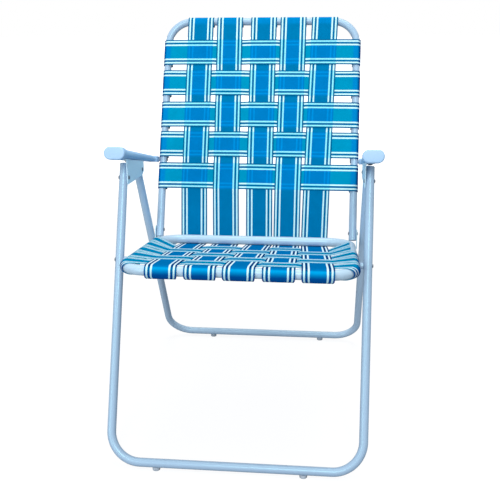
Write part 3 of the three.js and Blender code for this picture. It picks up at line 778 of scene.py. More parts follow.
class Shader(Tree):
    """One material's node tree."""

    def __init__(self, name: str) -> None:
        """Starts a material with an empty tree.

        Args:
            name: the material's name.
        """
        self.material = bpy.data.materials.new(name)
        self.material.use_nodes = True
        super().__init__(self.material.node_tree)

    def attribute(self, name: str) -> Value:
        """A number painted on the mesh."""
        node = self.node("ShaderNodeAttribute", {"attribute_name": name})
        return Value(self, node.outputs["Fac"])

    def place(self) -> Socket:
        """Object coordinates."""
        return self.node("ShaderNodeTexCoord").outputs["Object"]

    def strap_place(self) -> tuple[Value, Value]:
        """Where on a strap a point lies.

        Returns:
            The share across the strap, and the length along it in strap widths.
        """
        uv = self.node("ShaderNodeUVMap", {"uv_map": "strap"}).outputs[0]
        parts = self.node("ShaderNodeSeparateXYZ", None, {0: uv})
        return Value(self, parts.outputs[0]), Value(self, parts.outputs[1])

    def noise(
        self, scale: float, detail: float, vector: Socket | None = None
    ) -> Value:
        """Noise over the object.

        Args:
            scale: cells per metre.
            detail: how many finer layers it has.
            vector: coordinates, if not the object's.

        Returns:
            The noise, from 0 to 1.
        """
        inputs = {"Vector": vector or self.place(), "Scale": scale, "Detail": detail}
        return Value(self, self.node("ShaderNodeTexNoise", None, inputs).outputs["Fac"])

    def mix(self, base: object, *layers: tuple) -> object:
        """Lays colours over a colour.

        Args:
            base: the colour or link below.
            layers: how far each one covers, and its colour or link.

        Returns:
            The colour that comes of it.
        """
        for share, colour in layers:
            inputs = {0: share, 6: base, 7: colour}
            base = self.node("ShaderNodeMix", {"data_type": "RGBA"}, inputs).outputs[2]
        return base

    def scaled(self, vector: Socket, factor: Value | float) -> Socket:
        """A colour or place times a number."""
        inputs = {0: vector, "Scale": factor}
        return self.node("ShaderNodeVectorMath", {"operation": "SCALE"}, inputs).outputs[0]

    def finish(self, inputs: dict, height: Value, distance: float) -> Material:
        """Ends the tree in a Principled shader with a bump.

        Args:
            inputs: its sockets' values or links.
            height: height for the bump, from 0 to 1.
            distance: how high 1 stands, in metres.

        Returns:
            The material.
        """
        bump = {"Height": height, "Distance": distance, "Strength": 1.0}
        normal = self.node("ShaderNodeBump", None, bump).outputs[0]
        shader = self.node("ShaderNodeBsdfPrincipled", None, {**inputs, "Normal": normal})
        self.node("ShaderNodeOutputMaterial", None, {0: shader.outputs[0]})
        return self.material


def set_stops(ramp: bpy.types.ColorRamp, stops: Sequence[tuple[float, tuple]]) -> None:
    """Gives a ramp its stops.

    Args:
        ramp: the ramp, with its first two stops.
        stops: (place, colour) pairs in rising order.
    """
    for element, (place, colour) in zip(ramp.elements, (stops[0], stops[-1])):
        element.position, element.color = place, colour
    for place, colour in stops[1:-1]:
        ramp.elements.new(place).color = colour


# --- finishes


@dataclass(frozen=True)
class Coat:
    """A smooth finish with clouded tones, a fine grain and worn spots.

    Attributes:
        clouds: cells per metre and detail of the clouds between the two colours.
        grain: cells per metre and detail of the grain in the bump.
        spots: cells per metre and detail of the spots, where they start, and gain.
        cover: how far the worn colour covers in a spot.
        rough: roughness, and what clouds and spots add to it.
        dent: how deep the spots lie against the grain.
        depth: how high the bump stands, in metres.
        extra: further inputs of the Principled shader.
    """

    name: str
    colour: tuple
    second: tuple
    worn: tuple
    clouds: tuple[float, float]
    grain: tuple[float, float]
    spots: tuple[float, float, float, float]
    cover: float
    rough: tuple[float, float, float]
    dent: float
    depth: float
    extra: dict = field(default_factory=dict)

    def build(self) -> Material:
        """Builds the material.

        Returns:
            The material.
        """
        shader = Shader(self.name)
        cloud, grain = shader.noise(*self.clouds), shader.noise(*self.grain)
        scale, detail, level, gain = self.spots
        spot = ((shader.noise(scale, detail) - level) * gain).clamped()
        colour = shader.mix(self.colour, (cloud, self.second), (spot * self.cover, self.worn))
        rough = cloud * self.rough[1] + spot * self.rough[2] + self.rough[0]
        inputs = {"Base Color": colour, "Roughness": rough, **self.extra}
        return shader.finish(inputs, grain - spot * self.dent, self.depth)


def white_paint(name: str, colour: tuple, roughness: float = 0.2) -> Material:
    """Satin white paint with soft mottling, orange peel and small worn specks.

    Args:
        name: the material's name.
        colour: its linear colour.
        roughness: its lowest roughness.

    Returns:
        The material.
    """
    return Coat(
        name,
        colour,
        second=(*(share * 0.92 for share in colour[:3]), 1.0),
        worn=linear(112, 130, 152),
        clouds=(9.0, 3.0),
        grain=(900.0, 2.0),
        spots=(330.0, 4.0, 0.7, 22.0),
        cover=0.5,
        rough=(roughness, 0.12, 0.2),
        dent=0.6,
        depth=0.05 * MM,
        extra={"Specular Tint": (0.5, 1.0, 0.95, 1.0)},
    ).build()


ARM_PLASTIC = Coat(
    "arm_plastic",
    linear(160, 199, 234),
    second=linear(154, 190, 224),
    worn=linear(150, 182, 210),
    clouds=(22.0, 3.0),
    grain=(1600.0, 2.0),
    spots=(140.0, 5.0, 0.62, 9.0),
    cover=0.3,
    rough=(0.4, 0.12, 0.12),
    dent=0.0,
    depth=0.06 * MM,
)
PLATED_STEEL = Coat(
    "plated_steel",
    linear(120, 128, 138),
    second=linear(92, 98, 108),
    worn=linear(58, 56, 58),
    clouds=(420.0, 4.0),
    grain=(420.0, 4.0),
    spots=(1500.0, 3.0, 0.6, 7.0),
    cover=0.6,
    rough=(0.32, 0.2, 0.2),
    dent=0.5,
    depth=0.05 * MM,
    extra={"Metallic": 0.75},
)
FOOT_PLASTIC = Coat(
    "foot_plastic",
    linear(176, 188, 200),
    second=linear(176, 188, 200),
    worn=linear(120, 128, 138),
    clouds=(22.0, 3.0),
    grain=(1800.0, 2.0),
    spots=(260.0, 5.0, 0.5, 5.0),
    cover=1.0,
    rough=(0.55, 0.0, 0.2),
    dent=0.0,
    depth=0.08 * MM,
)


class Lay(Enum):
    """Which way a strap runs, which sets how its open stretches look."""

    LENGTHWISE = "lengthwise"
    CROSSWISE = "crosswise"


# Marks painted on each strap: over, its distance to the nearest crossing strap; tube, where painted
# light goes; seat, 1 on the seat; shade, where painted shade goes.
MARKS = ("over", "tube", "seat", "shade")


@dataclass(frozen=True)
class Webbing:
    """Woven plastic yarn webbing with stripes along the strap, with light and shade painted into
    its colours.

    The stripes are shares of the width from an edge to the middle: a dark edge, a
    white line, a dark line, a white line and the broad middle.
    """

    lay: Lay
    # middle, line and white: the back's open stretches, with painted light that comes through the
    # strap from behind.
    middle: tuple
    # A lit copy of the same webbing for the seat, with its light painted in: a grazing sheen on the
    # crosswise straps, and no light through from behind.
    seat_middle: tuple
    seat_line: tuple
    seat_white: tuple
    edge: tuple = linear(0, 104, 150)
    line: tuple = linear(0, 108, 160)
    white: tuple = linear(204, 250, 254)
    # Where another strap lies behind, the light through is kept out: these colours paint that
    # difference, and shown_through paints the white lines of the strap behind as seen through it.
    lapped_middle: tuple = linear(0, 121, 190)
    lapped_white: tuple = linear(146, 236, 250)
    shown_through: tuple = linear(0, 143, 218)
    # Painted light of a white tube behind the strap.
    tube_middle: tuple = linear(0, 131, 199)
    # Painted sheen on the strap round the seat's front tube.
    front_middle: tuple = linear(0, 152, 216)
    # Painted shade where a strap turns under a tube.
    shaded: tuple = linear(0, 56, 134)
    bands: tuple = (0.052, 0.108, 0.188, 0.245)
    band_soft: float = 0.004
    ribs: float = 40.0
    yarns: float = 46.0

    def masks(self, shader: Shader, share: Value) -> tuple[Value, Value]:
        """White lines and dark lines across the strap.

        Args:
            shader: the tree to add to.
            share: share of the width, from edge to edge.

        Returns:
            Two values, 1 on the white lines and 1 on the dark ones.
        """
        dark, white = (0, 1), (1, 0)
        kinds = (dark, white, dark, white, (0, 0))
        half = list(zip((0.0, *self.bands), kinds))
        marks = half + [(1 - at, kind) for at, kind in zip(self.bands[::-1], kinds[-2::-1])]
        stops = [(0.0, (*dark, 0, 1))]
        for (_, now), (at, after) in zip(marks[:-1], marks[1:]):
            stops.append((at - self.band_soft, (*now, 0, 1)))
            stops.append((at + self.band_soft, (*after, 0, 1)))
        stops.append((1.0, stops[-1][1]))
        ramp = shader.node("ShaderNodeValToRGB", {"stops": stops}, {0: share})
        parts = shader.node("ShaderNodeSeparateColor", None, {0: ramp.outputs[0]})
        return Value(shader, parts.outputs[0]), Value(shader, parts.outputs[1])

    def stripes(self, shader: Shader, across: Value, ragged: Value) -> Socket:
        """Colour of the stripes, with painted light and shade: light through the strap, kept out by
        a strap behind; light of a tube behind; sheen round the seat's front tube; shade where it
        turns under.

        Args:
            shader: the tree to add to.
            across: share across the strap.
            ragged: noise that frays the stripes' borders.

        Returns:
            The colour before the yarns' shading.
        """
        white, dark = self.masks(shader, across + (ragged - 0.5) * 0.012)
        over, tube, seat, shade = (shader.attribute(name) for name in MARKS)
        # Painted light through the strap: kept out where another strap lies behind, with the hidden
        # strap's white lines showing through.
        lapped = ((0.5 - over) * 90).clamped()
        hidden_white, _ = self.masks(shader, (0.5 + over).clamped())
        on_back, open_seat = 1 - seat, seat * (1 - tube)
        # Painted light over tubes: a tube's light behind the back's straps, and the sheen round the
        # seat's front tube.
        tube_light = shader.mix(self.tube_middle, (seat, self.front_middle))
        through = lapped * (hidden_white * on_back) * 0.7
        edge = (((across - 0.5) * (across - 0.5) - 0.2) * 60).clamped()
        # On the seat, the lit copy's colours with painted light take over.
        line = shader.mix(self.line, (open_seat, self.seat_line))
        bright = shader.mix(
            self.white, (lapped * on_back, self.lapped_white), (open_seat, self.seat_white)
        )
        return shader.mix(
            self.middle,
            (lapped, self.lapped_middle),
            (seat, self.seat_middle),
            (through, self.shown_through),
            (tube, tube_light),
            (dark, line),
            (edge * (dark * on_back), self.edge),
            (white, bright),
            (shade * (0.9 - white * 0.6), self.shaded),
        )

    def build(self) -> Material:
        """Stripes under ribs and yarns, with flecks and slightly worn patches.

        Returns:
            The material.
        """
        shader = Shader(f"webbing_{self.lay.value}")
        across, along = shader.strap_place()
        place = shader.place()
        colour = self.stripes(shader, across, shader.noise(1500.0, 1.0, place))
        rib = (along * (2 * math.pi * self.ribs)).sine() * 0.5 + 0.5
        yarn = (across * (2 * math.pi * self.yarns)).sine() * 0.5 + 0.5
        worn = shader.noise(60.0, 4.0, place)
        fleck = shader.noise(2600.0, 2.0, place)
        # rib and yarn darken the weave's grooves, a painted shade; worn and fleck vary the tone at
        # random.
        tone = 0.735 + rib * 0.07 + yarn * 0.03 + worn * 0.16 + (fleck - 0.5) * 0.22
        inputs = {
            "Base Color": shader.scaled(colour, tone),
            "Roughness": 0.55 + rib * 0.12 + worn * 0.1,
            "Specular IOR Level": 0.0,
        }
        return shader.finish(inputs, rib * 0.6 + yarn * 0.35 + fleck * 0.3, 0.16 * MM)


class Finishes:
    """Every finish on the chair, built once."""

    def __init__(self) -> None:
        """Build the materials."""
        self.frame = white_paint("frame_paint", linear(157, 184, 211))
        # A lighter copy of the frame paint for the seat loop, which faces up: painted light.
        self.seat_frame = white_paint("seat_frame_paint", linear(173, 200, 222))
        # A lighter copy for the rear legs, painting light over the shade they stand in.
        self.rear_frame = white_paint("rear_frame_paint", linear(180, 208, 234))
        # Lighter than the frame paint: painted light for the brackets' sideways faces, which get
        # less light.
        self.bracket = white_paint("bracket_paint", linear(200, 232, 250), roughness=0.36)
        self.arm = ARM_PLASTIC.build()
        self.steel = PLATED_STEEL.build()
        self.foot = FOOT_PLASTIC.build()
        self.lengthwise = Webbing(
            Lay.LENGTHWISE,
            middle=linear(0, 119, 174),
            seat_middle=linear(0, 110, 176),
            seat_line=linear(0, 64, 124),
            seat_white=linear(214, 242, 252),
        ).build()
        self.crosswise = Webbing(
            Lay.CROSSWISE,
            middle=linear(0, 145, 188),
            seat_middle=linear(0, 132, 182),
            seat_line=linear(64, 164, 200),
            seat_white=linear(224, 248, 254),
        ).build()


# --- studio


@dataclass
class Studio:
    """Camera, lamps, world and floor."""

    eye: tuple = (0.1571, -1.4931, 0.8207)
    pitch: float = 71.67
    yaw: float = 6.028
    roll: float = -0.506
    lens: float = 55.998
    floor_half: float = 14.0
    white_from: float = 2.6
    aim: tuple = (0.0, 0.0, 0.4)

    def camera(self) -> None:
        """The photograph's viewpoint."""
        data = bpy.data.cameras.new("camera")
        data.lens = self.lens
        data.sensor_width = 36
        data.clip_start, data.clip_end = 0.05, 60
        camera = bpy.data.objects.new("camera", data)
        camera.location = self.eye
        turn = Euler((math.radians(self.pitch), 0, math.radians(self.yaw))).to_matrix()
        turn = turn @ Matrix.Rotation(math.radians(self.roll), 3, "Z")
        camera.rotation_euler = turn.to_euler()
        bpy.context.scene.collection.objects.link(camera)
        bpy.context.scene.camera = camera

    def lamp(
        self, name: str, at: tuple, size: float, power: float, colour: tuple = (1.0, 1.0, 1.0)
    ) -> None:
        """Adds a soft square lamp.

        Args:
            name: its name.
            at: where it hangs.
            size: length of its side.
            power: in watts.
            colour: its linear colour.
        """
        data = bpy.data.lights.new(name, "AREA")
        data.size, data.energy, data.color = size, power, colour
        lamp = bpy.data.objects.new(name, data)
        lamp.location = at
        aim = np.subtract(self.aim, at)
        tilt = math.atan2(aim[2], math.hypot(aim[0], aim[1]))
        lamp.rotation_euler = (math.pi / 2 + tilt, 0, math.atan2(-aim[0], aim[1]))
        bpy.context.scene.collection.objects.link(lamp)

    def world(self) -> None:
        """Plain light from all round, white wherever the camera or a gloss sees it."""
        world = bpy.data.worlds.new("studio")
        bpy.context.scene.world = world
        world.use_nodes = True
        tree = Tree(world.node_tree)
        seen = tree.rays("Is Camera Ray", "Is Glossy Ray", "Is Transmission Ray")
        light, shown = (
            tree.node("ShaderNodeBackground", None, {"Color": colour, "Strength": strength})
            for colour, strength in (((0.93, 0.96, 1.0, 1.0), 0.5), ((1.0, 1.0, 1.0, 1.0), 1.0))
        )
        inputs = {0: seen, 1: light.outputs[0], 2: shown.outputs[0]}
        mix = tree.node("ShaderNodeMixShader", None, inputs)
        tree.node("ShaderNodeOutputWorld", None, {0: mix.outputs[0]})

    def floor(self) -> None:
        """A pale floor that keeps a faint shadow and fades into the white behind."""
        shader = Shader("floor_white")
        white = {"Color": (1.0, 1.0, 1.0, 1.0), "Strength": 1.5}
        glow = shader.node("ShaderNodeEmission", None, white)
        matt = shader.node("ShaderNodeBsdfDiffuse", None, {"Color": linear(150, 153, 158)})
        place = shader.scaled(shader.place(), 1 / self.white_from)
        spread = shader.node("ShaderNodeTexGradient", {"gradient_type": "SPHERICAL"}, {0: place})
        far = 1 - (Value(shader, spread.outputs["Fac"]) * 2.2).clamped()
        share = shader.rays("Is Camera Ray") * (0.6 + far * 0.4)
        inputs = {0: share, 1: matt.outputs[0], 2: glow.outputs[0]}
        mix = shader.node("ShaderNodeMixShader", None, inputs)
        shader.node("ShaderNodeOutputMaterial", None, {0: mix.outputs[0]})
        half = self.floor_half
        mesh = bpy.data.meshes.new("floor")
        corners = [(-half, -half, 0), (half, -half, 0), (half, half, 0), (-half, half, 0)]
        mesh.from_pydata(corners, [], [(0, 1, 2, 3)])
        mesh.materials.append(shader.material)
        floor = bpy.data.objects.new("floor", mesh)
        bpy.context.scene.collection.objects.link(floor)

    def build(self) -> None:
        """Set the stage: a broad key in front, a weak fill beside it and a lamp above."""
        self.camera()
        self.lamp("key", (0.36, -3.9, 3.0), 1.6, 112)
        self.lamp("fill", (-1.9, -2.4, 0.8), 1.6, 30)
        self.lamp("top", (0.2, 0.3, 3.2), 1.8, 58, (1.0, 0.95, 0.88))
        self.world()
        self.floor()
        bpy.context.scene.view_settings.view_transform = "Standard"
        LOG.info("studio ready")


# --- tube frames


@dataclass
class LegFrame:
    """One bent leg frame of tube with its two feet."""

    name: str
    pivot: Array
    up: Array
    above: float
    rail_half: float
    foot_shift: float
    top_half: float = 230.975 * MM
    bend: float = 55 * MM
    foot_half: float = 133 * MM

    def build(self, material: Material, foot_material: Material) -> None:
        """Builds the tube and its feet.

        Args:
            material: the tube's finish.
            foot_material: the feet's finish.
        """
        body = f"{self.name}_legs"
        top, rail = self.pivot + self.up * self.above, BONES.rail(self.pivot, self.up)
        corners = np.array([
            (-self.top_half, *top), (-self.rail_half, *rail),
            (self.rail_half, *rail), (self.top_half, *top),
        ])
        tube = hollow_tube(corners, [self.bend] * 2, BONES.thin_tube, 24)
        piece = make_piece(f"{body}_tube", [tube], material)
        ride(piece, body, "frame_paint", f"{self.name}_leg_frame")
        for side, hand in HANDS:
            origin = (self.foot_shift + side * self.foot_half, rail[0], 0.0)
            foot = turned(BUTTON_FOOT, origin, (0, 0, 1))
            piece = make_piece(f"{self.name}_foot_button_{hand}", [foot], foot_material)
            ride(piece, body, "foot_plastic", f"{self.name}_foot_{hand}")


@dataclass
class SeatLoop:
    """The seat's loop of tube, closed at a seam in its rear run."""

    seam: float = 0.05 * MM

    def build(self, finishes: Finishes) -> None:
        """Builds the loop, and finishes the sleeve inside its seam.

        Args:
            finishes: the chair's finishes.
        """
        front = BONES.on_seat(BONES.front_tube, 0.0)
        rear = BONES.on_seat(BONES.rear_tube, 0.0)
        half, gap = BONES.seat_half, self.seam / 2
        corners = np.array([
            (-gap, *rear), (-half, *rear), (-half, *front),
            (half, *front), (half, *rear), (gap, *rear),
        ])
        bends = [BONES.rear_bend, BONES.front_bend, BONES.front_bend, BONES.rear_bend]
        tube = hollow_tube(corners, bends, BONES.seat_tube, 20)
        piece = make_piece("seat_tube", [tube], finishes.seat_frame)
        ride(piece, "seat", "frame_paint", "seat_frame")
        sleeve = frame["nodes"]["seat_frame_sleeve"]
        sleeve.data.materials.clear()
        sleeve.data.materials.append(finishes.steel)


@dataclass
class BackBow:
    """The back's bow of tube, its two feet open below the hinge."""

    bend: float = 52 * MM
    foot: float = 15 * MM

    def build(self, material: Material) -> None:
        """Builds the bow.

        Args:
            material: its finish.
        """
        low, top = BONES.on_back(-self.foot, 0.0), BONES.on_back(BONES.back_length, 0.0)
        half = BONES.back_half
        corners = np.array([(-half, *low), (-half, *top), (half, *top), (half, *low)])
        tube = hollow_tube(corners, [self.bend] * 2, BONES.thin_tube, 24)
        ride(make_piece("back_tube", [tube], material), "back", "frame_paint", "back_frame")


# --- armrests


@dataclass
class Armrests:
    """The two armrests with their brackets and screws.

    Attributes:
        tab: width, height and inner edge of the flat tab behind, in millimetres.
        bar_rear: the same of the bar where it starts.
        bar_front: the same of the bar where it ends.
        head: the same of the larger head in front.
        bar_reach: where bar_rear and bar_front are measured along the arm.
        into_bar: where the tab eases into the bar.
        into_head: where the bar eases into the head.
        rows: first and last place and count of the sections of each stretch.
        spread: the flange's places along the arm, with its runout at both ends.
        least_spread: how far the bracket leans out beyond the flange, as a share.
    """

    tab: tuple = (4.5, 13.0, 218.525)
    bar_rear: tuple = (18.0, 14.0, 221.925)
    bar_front: tuple = (33.12, 17.8, 216.725)
    head: tuple = (39.0, 24.0, 213.675)
    bar_reach: tuple = (22.7, 280.2)
    into_bar: tuple = (19.0, 27.0)
    into_head: tuple = (280.0, 290.5)
    rows: tuple = ((0, 18, 4), (18, 28, 14), (28, 278, 20), (278, 292, 16))
    length: float = 312.62376 * MM
    head_round: float = 3 * MM
    corner_share: float = 0.97
    corner_points: int = 10
    bracket_inner: float = 220.675 * MM
    bracket_front: float = 7.5 * MM
    bracket_rear: float = 15 * MM
    bracket_lows: tuple = (-12.5, -19.5, -13.8)
    bracket_corner: float = 3.5 * MM
    bracket_bend: float = 2.8 * MM
    arm_gap: float = 0.3 * MM
    sheet: float = 2 * MM
    flange: float = 20 * MM
    spread: tuple = (174, 180, 238, 244)
    least_spread: float = 0.04
    screws: tuple = (193.0 * MM, 225.0 * MM)
    screw_inset: float = 12 * MM
    screw_shank: float = 1.8 * MM
    screw_tip: float = 0.4 * MM
    screw_gap: float = 0.6 * MM

    def sections(self) -> Array:
        """Rows of forward place, width, height and inner edge, in metres.

        Formula: a flat tab with a round end, then a bar whose sizes run straight
        from rear to front, then a larger head; each change eases over a short way.

        Returns:
            Rows from the rear tab to the start of the head's rounded rim.
        """
        tab_end, rim = self.tab[1] / 2 * MM, self.length - self.head_round
        round_tab = -tab_end * np.cos(np.linspace(0.2, math.pi / 2, 9))
        spans = [np.linspace(MM * start, MM * end, count) for start, end, count in self.rows]
        at = np.unique(np.concatenate([round_tab, *spans, [rim]]))
        tab, rear, front, head = map(np.array, (self.tab, self.bar_rear, self.bar_front, self.head))
        first, last = MM * np.array(self.bar_reach)
        bar = rear + (front - rear) * ((at - first) / (last - first))[:, None]
        none_to_full = np.array([0.0, 1.0])
        into_bar = eased(at, MM * np.array(self.into_bar), none_to_full)[:, None]
        into_head = eased(at, MM * np.array(self.into_head), none_to_full)[:, None]
        sizes = tab + (bar - tab) * into_bar
        sizes = sizes + (head - sizes) * into_head
        sizes[:, 1] *= np.sqrt(1 - (np.minimum(at, 0) / tab_end) ** 2)
        return np.column_stack([at, sizes * MM])

    def rest(self) -> Surface:
        """The moulded body: rounded rectangles along a straight axis.

        Formula: a section's corners are quarter circles whose radius is a share of
        its lesser half size; the head ends in a quarter circle rim round a flat face.

        Returns:
            The closed surface of the left armrest.
        """
        rows = self.sections()
        turn = np.linspace(0, math.pi / 2, 8)[1:, None]
        drawn = self.head_round * (1 - np.cos(turn))
        taper = np.hstack([self.head_round * np.sin(turn), -2 * drawn, -2 * drawn, drawn])
        rows = np.concatenate([rows, rows[-1] + taper])
        wide, tall = rows[:, 1, None] / 2, rows[:, 2, None] / 2
        radius = self.corner_share * np.minimum(wide, tall)
        count = self.corner_points
        quarters = [np.linspace(start, start + 90, count) for start in (0, 90, 180, 270)]
        angles = np.radians(np.concatenate(quarters))
        signs = np.repeat([(1, 1), (-1, 1), (-1, -1), (1, -1)], count, axis=0).T
        across = rows[:, 3, None] + wide + signs[0] * (wide - radius) + radius * np.cos(angles)
        up = signs[1] * (tall - radius) + radius * np.sin(angles)
        side_view = BONES.on_arm(rows[:, 0, None] + 0 * up, up)
        return Surface(np.concatenate([across[..., None], side_view], -1))

    def half_height(self, forward: Numbers) -> Array:
        """Half the arm's height at places along it."""
        rows = self.sections()
        return np.interp(forward, rows[:, 0], rows[:, 2]) / 2

    def bracket(self) -> Surface:
        """Pressed bracket: a wall beside the leg tops, bent outward under the arm.

        Formula: a folded sheet in columns from front to rear. Away from the flange
        the spread falls to nearly nothing, so the wall's edge stands up plain. Its
        lower corners are quarter circles.

        Returns:
            The closed surface of the left bracket.
        """
        corner, leg = self.bracket_corner, BONES.rear_leg_pivot[0]
        front, rear = BONES.arm_pivot[0] - self.bracket_front, leg + self.bracket_rear
        rearward = np.linspace(front, rear, 80)
        lows = BONES.arm_pivot[1] + MM * np.array(self.bracket_lows)
        near_end = np.clip(corner - np.minimum(rearward - front, rear - rearward), 0, corner)
        low = np.interp(rearward, [front, leg, rear], lows)
        low += corner - np.sqrt(corner**2 - near_end**2)
        forward = (BONES.arm_rear_pivot[0] - rearward) / -BONES.arm_front[0]
        top = BONES.on_arm(forward, 0.0)[:, 1] - self.half_height(forward) - self.arm_gap
        shares = np.array([self.least_spread, 1.0, 1.0, self.least_spread])
        spread = eased(forward, MM * np.array(self.spread), shares)
        heights, offsets, tilt = folded(low, top, self.bracket_bend, self.flange, (8, 6, 7))
        across, tilt = self.bracket_inner + offsets * spread, tilt * spread
        grid = np.stack([across, 0 * across + rearward, heights], -1)
        normals = np.stack([np.cos(tilt), 0 * tilt, -np.sin(tilt)], -1)
        return sheet_metal(grid.transpose(1, 0, 2), self.sheet, normals.transpose(1, 0, 2))

    def screw(self, forward: float) -> Surface:
        """A screw up into the arm: head under the flange, shank in the arm.

        Args:
            forward: its place along the arm.

        Returns:
            The closed surface of the left screw.
        """
        head = float(self.half_height(forward)) + self.screw_gap + self.sheet
        place = in_space(self.bracket_inner + self.screw_inset, BONES.on_arm(forward, -head))[0]
        profile = np.concatenate([
            PAN_HEAD[::-1] * np.array([-1.0, 1.0]),
            [[0.0, self.screw_shank], [head, self.screw_shank], [head, self.screw_tip]],
        ])
        return turned(profile, place, (0, *BONES.arm_up), 20)

    def build(self, finishes: Finishes) -> None:
        """Builds both sides.

        Args:
            finishes: the chair's finishes.
        """
        rest, bracket = self.rest(), self.bracket()
        paint, steel = finishes.bracket, finishes.steel
        screws = []
        for index, at in enumerate(self.screws, 1):
            names = f"arm_screw_{{}}_{index}", f"arm_bracket_screw_{{}}_{index}"
            screws.append(Twin(*names, self.screw(at), steel, "rivet_steel"))
        mount(
            "arms",
            Twin("armrest_moulding_{}", "armrest_{}", rest, finishes.arm, "arm_plastic"),
            Twin("arm_bracket_sheet_{}", "arm_bracket_{}", bracket, paint, "bracket_paint"),
            *screws,
        )


# --- hinges and rivets


@dataclass
class HingeBracket:
    """Sheet bracket that carries the back's foot on the seat loop's corner."""

    inner: float = 216.775 * MM
    sheet: float = 1.5 * MM
    half_width: float = 8.5 * MM
    cut: float = 0.02 * MM
    bend: float = 2.4 * MM
    foot_run: float = 15 * MM
    foot_end: float = 172.33 * MM
    foot_round: float = 7 * MM
    foot_bottom: float = -11.3 * MM
    least_rise: float = 0.1 * MM
    pivot_place: tuple = (255.75 * MM, 20.36 * MM)
    rivet_place: tuple = (181.029 * MM, 248.703 * MM)
    rivet_grip: float = 8.5 * MM
    rivet_shank: float = 2.4 * MM
    rivet_gap: float = 0.3 * MM

    def sheet_form(self) -> Surface:
        """An upright with a round top, bent inward into a foot under the tube.

        Formula: a folded sheet in columns from front to rear. Its edge is a half
        circle about the pivot, with a slope in front of it; the foot reaches to an
        end that is rounded like an ellipse.

        Returns:
            The closed surface of the left bracket.
        """
        (middle, rise), width, outer = self.pivot_place, self.half_width, self.inner + self.sheet
        start, reach = middle - self.foot_run, width - self.cut
        turn = np.linspace(-math.pi / 2, math.pi / 2, 30)
        slope_at = np.linspace(start, middle - width, 10)
        rearward = np.unique(np.concatenate([slope_at, middle + reach * np.sin(turn)]))
        off = np.clip(np.abs(rearward - middle), 0, width)
        least = self.foot_bottom + self.bend + self.least_rise
        slope = np.interp(rearward, slope_at[[0, -1]], [least, rise])
        top = np.where(rearward < middle - width, slope, rise + np.sqrt(width**2 - off**2))
        half_run = (middle + reach - start) / 2
        from_middle = np.abs(rearward - start - half_run) / half_run
        rounding = 1 - np.sqrt(1 - np.minimum(from_middle, 0.999) ** 2)
        foot = outer - self.foot_end - self.foot_round * rounding
        up, inward, tilt = folded(top, self.foot_bottom, self.bend, foot, (12, 7, 10))
        places = BONES.on_seat(0 * up + rearward, up)
        grid = np.concatenate([(outer - inward)[..., None], places], -1)
        lean = np.sin(tilt)[..., None] * BONES.seat_up
        normals = np.concatenate([-np.cos(tilt)[..., None], lean], -1)
        return sheet_metal(grid.transpose(1, 0, 2), self.sheet, normals.transpose(1, 0, 2))

    def rivet_form(self) -> Surface:
        """A blind rivet up through the foot into the seat tube.

        Returns:
            The closed surface of the left rivet.
        """
        profile = rivet_profile(self.rivet_grip, self.rivet_shank)
        across, rearward = self.rivet_place
        face = BONES.on_seat(rearward, self.foot_bottom - self.rivet_gap)
        axis = (0, *BONES.seat_up)
        return turned(profile[: len(profile) // 2 + 2], in_space(across, face)[0], axis, 24)

    def build(self, finishes: Finishes) -> None:
        """Builds both sides.

        Args:
            finishes: the chair's finishes.
        """
        sheet, rivet = self.sheet_form(), self.rivet_form()
        paint, steel = finishes.bracket, finishes.steel
        mount(
            "seat",
            Twin("hinge_sheet_{}", "back_hinge_bracket_{}", sheet, paint, "bracket_paint"),
            Twin("hinge_foot_rivet_{}", "back_hinge_foot_rivet_{}", rivet, steel, "rivet_steel"),
        )


@dataclass(frozen=True)
class Rivet:
    """A rivet along X through a stack, gripping from one X to another."""

    name: str
    node: str
    body: str
    place: Array
    start: float
    end: float
    shank: float = 2.5 * MM

    def build(self, material: Material) -> None:
        """Builds it on both sides.

        Args:
            material: its finish.
        """
        profile = rivet_profile((self.end - self.start) * MM, self.shank)
        form = turned(profile, (self.start * MM, *self.place), (1, 0, 0))
        mount(self.body, Twin(self.name, self.node, form, material, "rivet_steel"))


@dataclass(frozen=True)
class Collar:
    """A plain ring round a pivot's line: a spacer or a washer."""

    name: str
    node: str
    body: str
    slot: str
    place: Array
    start: float
    end: float
    radius: float
    bore: float = 2.6
    soft_share: float = 0.12

    def build(self, material: Material) -> None:
        """Builds it on both sides, its edges eased.

        Args:
            material: its finish.
        """
        run, rim = self.end - self.start, self.radius
        soft = self.soft_share * run
        profile = MM * np.array([
            [0.0, rim - soft], [soft, rim], [run - soft, rim],
            [run, rim - soft], [run, self.bore], [0.0, self.bore],
        ])
        ring = turned(profile, (self.start * MM, *self.place), (1, 0, 0)).points
        form = Surface(ring, loop_rows=True, capped=False)
        mount(self.body, Twin(self.name, self.node, form, material, self.slot))


# --- webbing


@dataclass
class StrapLine:
    """The middle line of a strap, with what lies under it, gathered run by run."""

    runs: list[Array] = field(default_factory=list)

    def add(
        self, places: Array, tube: Numbers = 0, seat: Numbers = 0, hold: Numbers = 0,
        shade: Numbers = 0,
    ) -> None:
        """Adds a run of points.

        Args:
            places: rows of two numbers.
            tube: 1 where painted light goes, from a tube behind the strap, and round the seat's
                front tube its sheen.
            seat: 1 on the seat, 0 on the back.
            hold: 1 where the strap is held to a side tube or gathered to its end.
            shade: 1 where the strap has turned under, painted in shade.
        """
        places = np.atleast_2d(places)
        marks = [np.broadcast_to(mark, len(places)) for mark in (tube, seat, hold, shade)]
        self.runs.append(np.column_stack([places, *marks]))

    @property
    def end(self) -> Array:
        """The last place added."""
        return self.runs[-1][-1, :2]

    def joined(self) -> tuple[Array, Array, Array, Array, Array]:
        """Places, tube, seat, hold and shade of the whole line."""
        rows = np.concatenate(self.runs)
        return rows[:, :2], *rows[:, 2:].T


